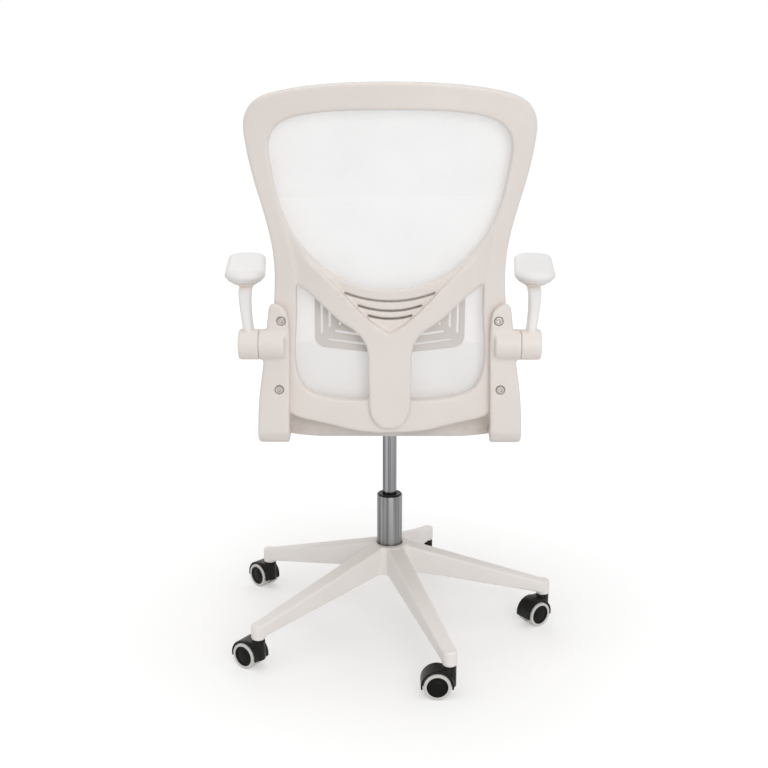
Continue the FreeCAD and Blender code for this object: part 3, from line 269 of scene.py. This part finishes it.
def noise(tree, place, scale, detail):
    node = add(tree, "ShaderNodeTexNoise", Scale=scale, Detail=detail)
    tree.links.new(place, node.inputs["Vector"])
    return node.outputs["Fac"]


def tones(tree, factor, dark, light, low=NOISE_LOW, high=NOISE_HIGH):
    ramp = tree.nodes.new("ShaderNodeValToRGB")
    ramp.color_ramp.elements[0].position = low
    ramp.color_ramp.elements[0].color = dark
    ramp.color_ramp.elements[1].position = high
    ramp.color_ramp.elements[1].color = light
    tree.links.new(factor, ramp.inputs["Fac"])
    return ramp.outputs["Color"]


def spread(tree, factor, low, high, start=NOISE_LOW, end=NOISE_HIGH):
    node = tree.nodes.new("ShaderNodeMapRange")
    node.inputs["From Min"].default_value = start
    node.inputs["From Max"].default_value = end
    node.inputs["To Min"].default_value = low
    node.inputs["To Max"].default_value = high
    tree.links.new(factor, node.inputs["Value"])
    return node.outputs["Result"]


def combine(tree, operation, a, b):
    node = tree.nodes.new("ShaderNodeMath")
    node.operation = operation
    tree.links.new(a, node.inputs[0])
    tree.links.new(b, node.inputs[1])
    return node.outputs["Value"]


def bump(tree, shader, height, strength, distance):
    node = add(tree, "ShaderNodeBump", Strength=strength, Distance=distance)
    tree.links.new(height, node.inputs["Height"])
    tree.links.new(node.outputs["Normal"], shader.inputs["Normal"])


def show(tree, output):
    tree.links.new(output, tree.nodes["Material Output"].inputs["Surface"])


def mould_finish(tree, shader, place, rough_low, rough_high, grain, strength):
    # Uneven gloss and a fine eroded grain.
    gloss = noise(tree, place, scale=GLOSS_SCALE, detail=3.0)
    tree.links.new(spread(tree, gloss, rough_low, rough_high), shader.inputs["Roughness"])
    bump(tree, shader, noise(tree, place, grain, detail=2.0), strength, GRAIN_DEPTH)


def plastic(name, dark, light, rough_low, rough_high, grain=GRAIN_SCALE, strength=0.12, shine=0.5):
    # Moulded plastic or rubber with faint flow marks.
    material, tree, shader = blank(name)
    shader.inputs["Specular IOR Level"].default_value = shine
    place = object_place(tree)
    flow = noise(tree, place, FLOW_SCALE, detail=4.0)
    tree.links.new(tones(tree, flow, colour(dark), colour(light)), shader.inputs["Base Color"])
    mould_finish(tree, shader, place, rough_low, rough_high, grain, strength)
    return material


def arm_material():
    # Plastic as on the frame at hub and flange, whiter along the post between them.
    material, tree, shader = blank("arm_plastic")
    place = object_place(tree)
    flow = noise(tree, place, FLOW_SCALE, detail=4.0)
    warm = tones(tree, flow, colour("E6DED8"), colour("EBE3DD"))
    white = tones(tree, flow, colour("E8E6E4"), colour("EDEBE9"))
    split = tree.nodes.new("ShaderNodeSeparateXYZ")
    tree.links.new(place, split.inputs["Vector"])
    over_foot = tones(tree, split.outputs["Z"], BLACK, WHITE, *POST_FOOT)
    under_head = tones(tree, split.outputs["Z"], WHITE, BLACK, *POST_HEAD)
    mix = tree.nodes.new("ShaderNodeMix")
    mix.data_type = "RGBA"
    tree.links.new(combine(tree, "MULTIPLY", over_foot, under_head), mix.inputs["Factor"])
    tree.links.new(warm, mix.inputs["A"])
    tree.links.new(white, mix.inputs["B"])
    tree.links.new(mix.outputs["Result"], shader.inputs["Base Color"])
    mould_finish(tree, shader, place, 0.4, 0.5, GRAIN_SCALE, 0.12)
    return material


def metal(name, dark, light, rough_low, rough_high, stretch):
    # Metal with fine drawn lines; stretch has their number per metre along each axis.
    material, tree, shader = blank(name)
    lines = noise(tree, mapped(tree, object_place(tree), Scale=stretch), scale=1.0, detail=6.0)
    tree.links.new(tones(tree, lines, colour(dark), colour(light)), shader.inputs["Base Color"])
    tree.links.new(spread(tree, lines, rough_low, rough_high), shader.inputs["Roughness"])
    shader.inputs["Metallic"].default_value = 1.0
    bump(tree, shader, lines, strength=0.06, distance=LINE_DEPTH)
    return material


def bands(tree, place, pitch, turn):
    # Wave across a direction in the X-Z plane, one band per pitch.
    wave = add(tree, "ShaderNodeTexWave", Scale=WAVE_REPEAT / pitch, Distortion=0.0)
    wave.wave_type = "BANDS"
    wave.bands_direction = "X"
    tree.links.new(mapped(tree, place, Rotation=(0.0, turn, 0.0)), wave.inputs["Vector"])
    return wave.outputs["Fac"]


def crossed(tree, place, pitch, first, second):
    # Two sets of threads over each other.
    return combine(tree, "MAXIMUM", bands(tree, place, pitch, first), bands(tree, place, pitch, second))


def net_material():
    # Knitted net: slanting threads with small open cells between them, lit through from the front.
    material, tree, shader = blank("back_net")
    place = object_place(tree)
    threads = crossed(tree, place, NET_PITCH, NET_SLANT, -NET_SLANT)
    cloud = noise(tree, place, scale=12.0, detail=3.0)
    tree.links.new(tones(tree, cloud, colour("F2F2F2"), colour("F8F8F8")), shader.inputs["Base Color"])
    shader.inputs["Roughness"].default_value = 0.7
    bump(tree, shader, threads, strength=0.3, distance=THREAD_DEPTH)
    through = add(tree, "ShaderNodeBsdfTranslucent", Color=colour("FAFAFA"))
    thread = add(tree, "ShaderNodeMixShader", Fac=NET_THROUGH)
    tree.links.new(shader.outputs["BSDF"], thread.inputs[1])
    tree.links.new(through.outputs["BSDF"], thread.inputs[2])
    clear = tree.nodes.new("ShaderNodeBsdfTransparent")
    mix = tree.nodes.new("ShaderNodeMixShader")
    tree.links.new(tones(tree, threads, BLACK, WHITE, *NET_CELL), mix.inputs["Fac"])
    tree.links.new(clear.outputs["BSDF"], mix.inputs[1])
    tree.links.new(thread.outputs["Shader"], mix.inputs[2])
    show(tree, mix.outputs["Shader"])
    return material


def cloth_material():
    # Woven cover: crossed yarns with a little fuzz and uneven dye.
    material, tree, shader = blank("seat_cloth")
    place = object_place(tree)
    cloud = noise(tree, place, scale=60.0, detail=5.0)
    tree.links.new(tones(tree, cloud, colour("D8CFC8"), colour("E2D9D2")), shader.inputs["Base Color"])
    tree.links.new(spread(tree, cloud, 0.78, 0.92), shader.inputs["Roughness"])
    shader.inputs["Sheen Weight"].default_value = 0.25
    yarns = crossed(tree, mapped(tree, place, Rotation=CLOTH_TURN), CLOTH_PITCH, 0.0, math.radians(90))
    bump(tree, shader, yarns, strength=0.35, distance=YARN_DEPTH)
    return material


def wood_material():
    # Plywood with its grain along Y.
    material, tree, shader = blank("plywood")
    along = mapped(tree, object_place(tree), Scale=(220.0, 9.0, 220.0))
    grain = noise(tree, along, scale=1.0, detail=8.0)
    tree.links.new(tones(tree, grain, colour("A98A63"), colour("CDB48C")), shader.inputs["Base Color"])
    tree.links.new(spread(tree, grain, 0.55, 0.75), shader.inputs["Roughness"])
    bump(tree, shader, grain, strength=0.2, distance=WOOD_DEPTH)
    return material


frame_plastic = plastic("frame_plastic", "E4DCD6", "E9E1DB", 0.42, 0.52)
# Painted shade: the lumbar plate is the frame's plastic made greyer, as where the spine shades it.
lumbar_plastic = plastic("lumbar_plastic", "D2CCC8", "DAD4D0", 0.45, 0.55)
rim_plastic = plastic("rim_plastic", "DAD5D0", "E2DDD8", 0.5, 0.6)
base_plastic = plastic("base_plastic", "F1ECE8", "F6F1ED", 0.36, 0.46)
arm_plastic = arm_material()
pad_skin = plastic("pad_skin", "EFEDEC", "F4F2F1", 0.5, 0.62, grain=420.0, strength=0.3)
black_plastic = plastic("black_plastic", "0A0909", "121110", 0.3, 0.42, shine=0.22)
hub_plastic = plastic("hub_plastic", "080706", "0E0D0C", 0.34, 0.46, shine=0.15)
tyre_rubber = plastic("tyre_rubber", "D3D0CB", "DEDBD6", 0.5, 0.65, grain=500.0, strength=0.2)
bump_rubber = plastic("bump_rubber", "1A1A1A", "262626", 0.7, 0.85)
black_paint = plastic("black_paint", "141414", "1C1C1C", 0.35, 0.5, grain=600.0, strength=0.25)
tube_metal = metal("tube_metal", "5A5A5A", "9E9E9E", 0.26, 0.36, (260.0, 260.0, 2.5))
cylinder_metal = metal("cylinder_metal", "4C4C4E", "A8A8AA", 0.12, 0.2, (240.0, 240.0, 1.5))
steel = metal("steel", "8C8C8A", "AAAAA8", 0.28, 0.4, (300.0, 300.0, 300.0))
bolt_steel = metal("bolt_steel", "A5A09B", "BAB5B0", 0.22, 0.32, (300.0, 300.0, 300.0))
net = net_material()
seat_cloth = cloth_material()
plywood = wood_material()


# Camera, floor and light

CAMERA_PLACE = (0.0, 2.20, 1.074)
CAMERA_DOWN = 14.56     # degrees below level
CAMERA_TURN = 180.29    # degrees from a look along +Y
CAMERA_LENS = 55.03     # millimetres, on a 36 mm sensor
FLOOR_HALF = 9.0
FLOOR_DARK = (0.76, 0.76, 0.76, 1)
FLOOR_LIGHT = (0.78, 0.78, 0.78, 1)
GLOW_NEAR = 0.30        # glow of the floor under the chair
GLOW_FAR = 0.62         # glow from GLOW_REACH outwards
GLOW_REACH = 2.5
DOME_LIGHT = 0.62


def make_camera():
    data = bpy.data.cameras.new("camera")
    data.lens = CAMERA_LENS
    data.sensor_width = 36.0
    camera = link(bpy.data.objects.new("camera", data))
    camera.location = CAMERA_PLACE
    camera.rotation_euler = (math.radians(90 - CAMERA_DOWN), 0.0, math.radians(CAMERA_TURN))
    bpy.context.scene.camera = camera


def seen_directly(tree):
    # 1 for what the camera sees itself or in gloss and glass, 0 for light that falls on things.
    path = tree.nodes.new("ShaderNodeLightPath")
    shown = combine(tree, "MAXIMUM", path.outputs["Is Camera Ray"], path.outputs["Is Glossy Ray"])
    return combine(tree, "MAXIMUM", shown, path.outputs["Is Transmission Ray"])


def floor_material():
    # Matt white that glows more far from the chair, so that it runs out into the white behind it.
    material, tree, shader = blank("floor_white")
    place = object_place(tree)
    cloud = noise(tree, place, scale=2.0, detail=2.0)
    tree.links.new(tones(tree, cloud, FLOOR_DARK, FLOOR_LIGHT), shader.inputs["Base Color"])
    shader.inputs["Roughness"].default_value = 0.9
    shader.inputs["Specular IOR Level"].default_value = 0.1
    spot = tree.nodes.new("ShaderNodeTexGradient")
    spot.gradient_type = "SPHERICAL"
    tree.links.new(mapped(tree, place, Scale=[1 / GLOW_REACH] * 3), spot.inputs["Vector"])
    share = spread(tree, spot.outputs["Fac"], GLOW_FAR, GLOW_NEAR, 0.0, 1.0)
    glow = add(tree, "ShaderNodeEmission", Color=WHITE)
    tree.links.new(combine(tree, "MULTIPLY", seen_directly(tree), share), glow.inputs["Strength"])
    both = tree.nodes.new("ShaderNodeAddShader")
    tree.links.new(shader.outputs["BSDF"], both.inputs[0])
    tree.links.new(glow.outputs["Emission"], both.inputs[1])
    show(tree, both.outputs["Shader"])
    return material


def make_floor():
    corners = [(x * FLOOR_HALF, y * FLOOR_HALF, 0) for x, y in ((-1, -1), (1, -1), (1, 1), (-1, 1))]
    floor = surface("floor", corners, [(0, 1, 2, 3)])
    floor.data.materials.append(floor_material())


def make_lamp(name, place, aim, side, power):
    # A square lamp, side in metres and power in watts.
    data = bpy.data.lights.new(name, "AREA")
    data.shape = "SQUARE"
    data.size = side
    data.energy = power
    lamp = link(bpy.data.objects.new(name, data))
    lamp.location = place
    lamp.rotation_euler = (Vector(aim) - Vector(place)).to_track_quat("-Z", "Y").to_euler()


def make_world():
    # An even dome of light that the camera sees as plain white.
    world = bpy.data.worlds.new("studio")
    world.use_nodes = True
    tree = world.node_tree
    tree.nodes.clear()
    dome = add(tree, "ShaderNodeBackground", Color=WHITE, Strength=DOME_LIGHT)
    seen = add(tree, "ShaderNodeBackground", Color=WHITE, Strength=1.0)
    mix = tree.nodes.new("ShaderNodeMixShader")
    out = tree.nodes.new("ShaderNodeOutputWorld")
    tree.links.new(seen_directly(tree), mix.inputs["Fac"])
    tree.links.new(dome.outputs["Background"], mix.inputs[1])
    tree.links.new(seen.outputs["Background"], mix.inputs[2])
    tree.links.new(mix.outputs["Shader"], out.inputs["Surface"])
    bpy.context.scene.world = world


def make_light():
    bpy.context.scene.view_settings.view_transform = "Standard"
    make_world()
    make_lamp("top_light", (0.3, 0.6, 3.2), (0.0, 0.0, 0.55), 2.6, 14.0)
    make_lamp("key_light", (-1.0, 3.6, 1.9), (0.0, 0.0, 0.5), 2.0, 40.0)
    make_lamp("front_light", (0.5, -3.0, 2.4), (0.0, 0.0, 0.75), 1.8, 11.0)


# Back

NET_STEPS = 240         # points round the net
NET_RINGS = 36          # rings of points from its middle to its edge
NET_SHARE = 0.985       # how much of the CAD sheet's outline the net fills
NET_SUNK = 0.0007       # how far it lies under the CAD sheet's rear face
# Arched slots of the web: half width, height at the ends and in the middle.
WEB_SLOTS = [(0.077, 0.726, 0.711), (0.055, 0.704, 0.694), (0.038, 0.686, 0.680)]
SLOT_CRISP = 0.006      # the moulding stays crisp this far from a slot's middle line
RECESS_CRISP = 0.010    # and a bracket this far from a bolt's axis
BOSS_CRISP = 0.018      # its boss is crisp outwards of this far inside the arm's joint
BOSS_AROUND = 0.029     # radius that holds boss and hub
PLATE_OFF_NET = 0.0004  # gap between lumbar plate and net
PLATE_THINNED = 0.45    # share of the CAD plate's thickness


def net_edge(rear, middle):
    # Distance from the net's middle to the CAD sheet's outline, all the way round.
    edge = []
    for k in range(NET_STEPS):
        turn = 2 * math.pi * k / NET_STEPS
        inside, outside = 0.1, 0.5
        for _ in range(16):
            r = (inside + outside) / 2
            if rear(r * math.cos(turn), middle + r * math.sin(turn)):
                inside = r
            else:
                outside = r
        edge.append(inside)
    return edge


def back_net():
    # One stretched sheet over the rim, read from the CAD sheet's outline and rear face.
    rear = rear_face("back_mesh")
    heights = [v.co.z for v in nodes["back_mesh"].data.vertices]
    middle = (min(heights) + max(heights)) / 2
    edge = net_edge(rear, middle)
    verts = []
    for i in range(NET_RINGS + 1):
        share = NET_SHARE * i / NET_RINGS
        for k in range(NET_STEPS):
            turn = 2 * math.pi * k / NET_STEPS
            x = share * edge[k] * math.cos(turn)
            z = middle + share * edge[k] * math.sin(turn)
            verts.append((x, rear(x, z).y - NET_SUNK, z))
    faces = []
    for i in range(NET_RINGS):
        inner = i * NET_STEPS
        outer = inner + NET_STEPS
        for k in range(NET_STEPS):
            n = (k + 1) % NET_STEPS
            faces.append((inner + k, inner + n, outer + n, outer + k))
    obj = surface("back_net", verts, faces)
    shade(obj)
    dress(obj, net, "back_mesh")


def bolt_axes():
    # Place of each back bolt's axis seen from behind.
    groups = {}
    points = [v.co for v in nodes["back_bolts"].data.vertices]
    middle = (min(p.z for p in points) + max(p.z for p in points)) / 2
    for p in points:
        groups.setdefault((p.x > 0, p.z > middle), []).append(p)
    axes = []
    for group in groups.values():
        xs = [p.x for p in group]
        zs = [p.z for p in group]
        axes.append(((min(xs) + max(xs)) / 2, (min(zs) + max(zs)) / 2))
    return axes


def bracket(node):
    # Well rounded all over, but crisp round the bolt recesses and at the end of the arm's boss.
    obj = resurface(copy_nodes([node], "moulded_" + node), voxel=0.0016)
    axes = bolt_axes()

    def from_crisp(p):
        recess = min(math.hypot(p.x - x, p.z - z) for x, z in axes) - RECESS_CRISP
        off_axis = math.hypot(p.y - arm_pivot.y, p.z - arm_pivot.z)
        boss = max(arm_pivot.x - BOSS_CRISP - abs(p.x), off_axis - BOSS_AROUND)
        return min(recess, boss)

    smooth_free(obj, rounds=45, distance=from_crisp)
    shade(obj)
    dress(obj, frame_plastic, node)


def from_slots(p):
    # How far a point lies from the nearest slot of the web, seen from behind.
    nearest = 1.0
    for half, end, middle in WEB_SLOTS:
        x = min(abs(p.x), half)
        z = middle + (end - middle) * (x / half) ** 2
        nearest = min(nearest, math.hypot(abs(p.x) - x, p.z - z))
    return nearest


def back_moulding():
    # Ring and spine as one moulding with full rounds, crisp at the web's slots.
    group = ["back_frame", "back_spine"]
    obj = resurface(copy_nodes(group, "back_moulding"), voxel=0.0014)
    smooth_free(obj, rounds=60, distance=lambda p: from_slots(p) - SLOT_CRISP)
    shade(obj)
    dress(obj, frame_plastic, *group)


def lumbar_plate():
    # Thin plate close to the net, so that the net shows light in its slots.
    net_at = rear_face("back_mesh")
    obj = resurface(copy_nodes(["lumbar_support"], "moulded_lumbar"), voxel=0.0011)
    behind = [v.co.y - net_at(v.co.x, v.co.z).y for v in obj.data.vertices]
    front = min(behind)
    for v, gap in zip(obj.data.vertices, behind):
        v.co.y += PLATE_OFF_NET + (gap - front) * PLATE_THINNED - gap
    smooth_out(obj, rounds=4)
    shade(obj)
    dress(obj, lumbar_plastic, "lumbar_support")


def back():
    back_moulding()
    moulded(["mesh_rim"], rim_plastic, voxel=0.0016, rounds=6)
    lumbar_plate()
    for side in SIDES:
        bracket(side + "_bracket")
    eased("back_bolts", bolt_steel, width=0.0005)
    eased("lumbar_screws", steel, width=0.0005)
    eased("bracket_bolts", steel, width=0.0005)
    back_net()


# Arms

HUB_CRISP = 0.013       # an arm's hub is crisp inwards of this far inside its joint
PAD_SUNK = 0.003        # how far a pad goes into its flange


def arm(node):
    # Hub, post and flange in one moulding, crisp where the hub meets the bracket's boss.
    obj = resurface(copy_nodes([node], "moulded_" + node), voxel=0.0014)

    def from_crisp(p):
        return max(abs(p.x) - arm_pivot.x + HUB_CRISP, p.z - arm_pivot.z - BOSS_AROUND)

    smooth_free(obj, rounds=14, distance=from_crisp)
    shade(obj)
    dress(obj, arm_plastic, node)


def arm_pad(node):
    # Skinned foam pad; its underside goes a little way into the flange that it sits on.
    obj = copy_nodes([node], "moulded_" + node)
    bottom = min(v.co.z for v in obj.data.vertices)
    for v in obj.data.vertices:
        if v.co.z < bottom + 0.0005:
            v.co.z -= PAD_SUNK
    resurface(obj, voxel=0.002)
    smooth_out(obj, rounds=8)
    shade(obj)
    dress(obj, pad_skin, node)


def arms():
    for side in SIDES:
        arm(side + "_arm")
        arm_pad(side + "_arm_pad")
        eased(side + "_pad_screws", steel, width=0.0004)
    eased("arm_axles", steel, width=0.0004)


# Seat

COVER_RIM = 0.006       # the cover is held up to this height over the pan
COVER_DRAWN_IN = 0.003  # how far it is drawn in before it is blown up
COVER_EASE_IN = 0.03    # height over the rim at which it is drawn in fully
COVER_PRESSURE = 4.0
COVER_FRAMES = 20
COVER_MOST = 0.006      # the most that the skin may move
# Openings in the cushion's rim for the brackets' feet: inner wall, front, top, and how the rim gives.
NOTCH_WALL = 0.1745
NOTCH_FRONT = 0.1
NOTCH_TOP = 0.478
NOTCH_REACH = 0.03
NOTCH_FILL = 0.006
NOTCH_SKIN = 0.002


def swell(obj, held):
    # Blows a cover up from the inside; held points stay.
    cloth = obj.modifiers.new("cloth", "CLOTH")
    cloth.settings.vertex_group_mass = held
    cloth.settings.use_pressure = True
    cloth.settings.uniform_pressure_force = COVER_PRESSURE
    cloth.settings.effector_weights.gravity = 0.0
    cloth.collision_settings.use_collision = False
    for k in range(1, COVER_FRAMES + 1):
        bpy.context.scene.frame_set(k)
    settle(obj)
    bpy.context.scene.frame_set(1)


def cover_moves():
    # Where a coarse cover moves when it is drawn in and blown up against its fixed rim.
    cover = resurface(copy_nodes(["seat_cushion"], "cover"), voxel=0.006)
    starts = [v.co.copy() for v in cover.data.vertices]
    pan_top = max(v.co.z for v in nodes["seat_pan"].data.vertices)
    rim = cover.vertex_groups.new(name="rim")
    for v in cover.data.vertices:
        over_rim = v.co.z - pan_top - COVER_RIM
        if over_rim < 0:
            rim.add([v.index], 1.0, "REPLACE")
        else:
            v.co -= v.normal * COVER_DRAWN_IN * min(over_rim / COVER_EASE_IN, 1.0)
    swell(cover, "rim")
    moves = [v.co - start for v, start in zip(cover.data.vertices, starts)]
    near = KDTree(len(starts))
    for k, start in enumerate(starts):
        near.insert(start, k)
    near.balance()
    bpy.data.objects.remove(cover)
    return near, moves


def follow_cover(obj):
    # Moves a fine skin with the four nearest points of the coarse cover.
    near, moves = cover_moves()
    for v in obj.data.vertices:
        found = near.find_n(v.co, 4)
        weights = [1 / (gap + 0.001) for _, _, gap in found]
        move = sum((moves[k] * w for (_, k, _), w in zip(found, weights)), Vector())
        move /= sum(weights)
        v.co += move * min(1.0, COVER_MOST / max(move.length, 0.000001))


def press_rim(obj):
    # Presses the rim up against the brackets' feet.
    for v in obj.data.vertices:
        along = limited((abs(v.co.x) - NOTCH_WALL) / NOTCH_REACH + 1)
        inside = abs(v.co.x) < NOTCH_WALL + NOTCH_SKIN
        if inside and v.co.y > NOTCH_FRONT and v.co.z < NOTCH_TOP:
            v.co.x += math.copysign(NOTCH_FILL * along, v.co.x)


def seat_cushion():
    # Foam under a tight cover.
    obj = resurface(copy_nodes(["seat_cushion"], "cushion"), voxel=0.0015)
    follow_cover(obj)
    press_rim(obj)
    smooth_out(obj, rounds=24)
    shade(obj)
    dress(obj, seat_cloth, "seat_cushion")


def seat():
    seat_cushion()
    eased("seat_pan", plywood, width=0.001)
    eased("seat_plate", black_paint, width=0.0006)
    eased("seat_bolts", steel, width=0.0005)


# Base, lift and mechanism

def coil():
    # Spring whose top sits on the housing and whose foot sits at the knob under the seat; it stays where it stands
    # and does not bend.
    obj = copy_nodes(["tilt_spring"], "coil")
    shade(obj, CRISP_ANGLE)
    stand_for(obj, steel, "tilt_spring")
    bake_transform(obj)


def lift():
    moulded(["star_base"], base_plastic, voxel=0.0017, rounds=10)
    eased("gas_outer_tube", tube_metal, width=0.0006)
    eased("guide_bush", black_plastic, width=0.0008)
    eased("gas_cylinder", cylinder_metal, width=0.0004)
    for node in ("caster_sleeves", "thrust_bearing", "piston_rod", "rod_clip", "release_pin",
                 "tilt_pin", "tension_bolt", "release_lever"):
        eased(node, steel, width=0.0003)
    eased("bump_stop", bump_rubber, width=0.0006)
    for node in ("taper_socket", "mechanism_housing"):
        eased(node, black_paint, width=0.0006)
    coil()
    for node in ("lock_collar", "tension_knob", "lever_handle"):
        eased(node, black_plastic, width=0.0006)


# Casters

CASTERS = 5
WHEEL_STEPS = 96
# Closed profiles of one wheel in millimetres: radius, and distance from the caster's middle.
TYRE = [(19.5, 3.9), (23.8, 3.9), (24.6, 4.4), (25.0, 5.4), (25.0, 18.6), (24.7, 19.8),
        (23.9, 20.5), (22.8, 20.6), (20.3, 20.6), (19.5, 20.2)]
HUB = [(4.1, 3.7), (19.4, 3.7), (19.4, 19.8), (19.0, 20.3), (18.0, 20.4), (17.3, 20.0),
       (16.9, 19.2), (16.4, 18.7), (11.0, 18.5), (10.2, 18.8), (9.7, 19.4), (9.0, 19.8),
       (6.0, 20.0), (0.0, 20.1), (0.0, 17.8), (4.1, 17.6)]


def wheel(caster, side, way):
    # Pale tyre on a black hub, turned about the roll joint's axis on one side of the caster.
    joint = joints[caster + "_roll_" + side]
    turn = (Vector(joint["axis"]) * way).to_track_quat("Z", "Y")
    place = Matrix.Translation(joint["pos_m"]) @ turn.to_matrix().to_4x4()
    for part, profile, material in (("tyre", TYRE, tyre_rubber), ("hub", HUB, hub_plastic)):
        obj = lathe(caster + "_" + part + "_" + side, millimetres(profile), WHEEL_STEPS)
        obj.matrix_world = place
        dress(obj, material, caster + "_wheel_" + side)


def casters():
    for k in range(1, CASTERS + 1):
        name = "caster_%d" % k
        moulded([name + "_hood"], black_plastic, voxel=0.0009, rounds=8)
        eased(name + "_stem", steel, width=0.0004)
        wheel(name, "a", 1.0)
        wheel(name, "b", -1.0)


make_camera()
make_floor()
make_light()
back()
arms()
seat()
lift()
casters()
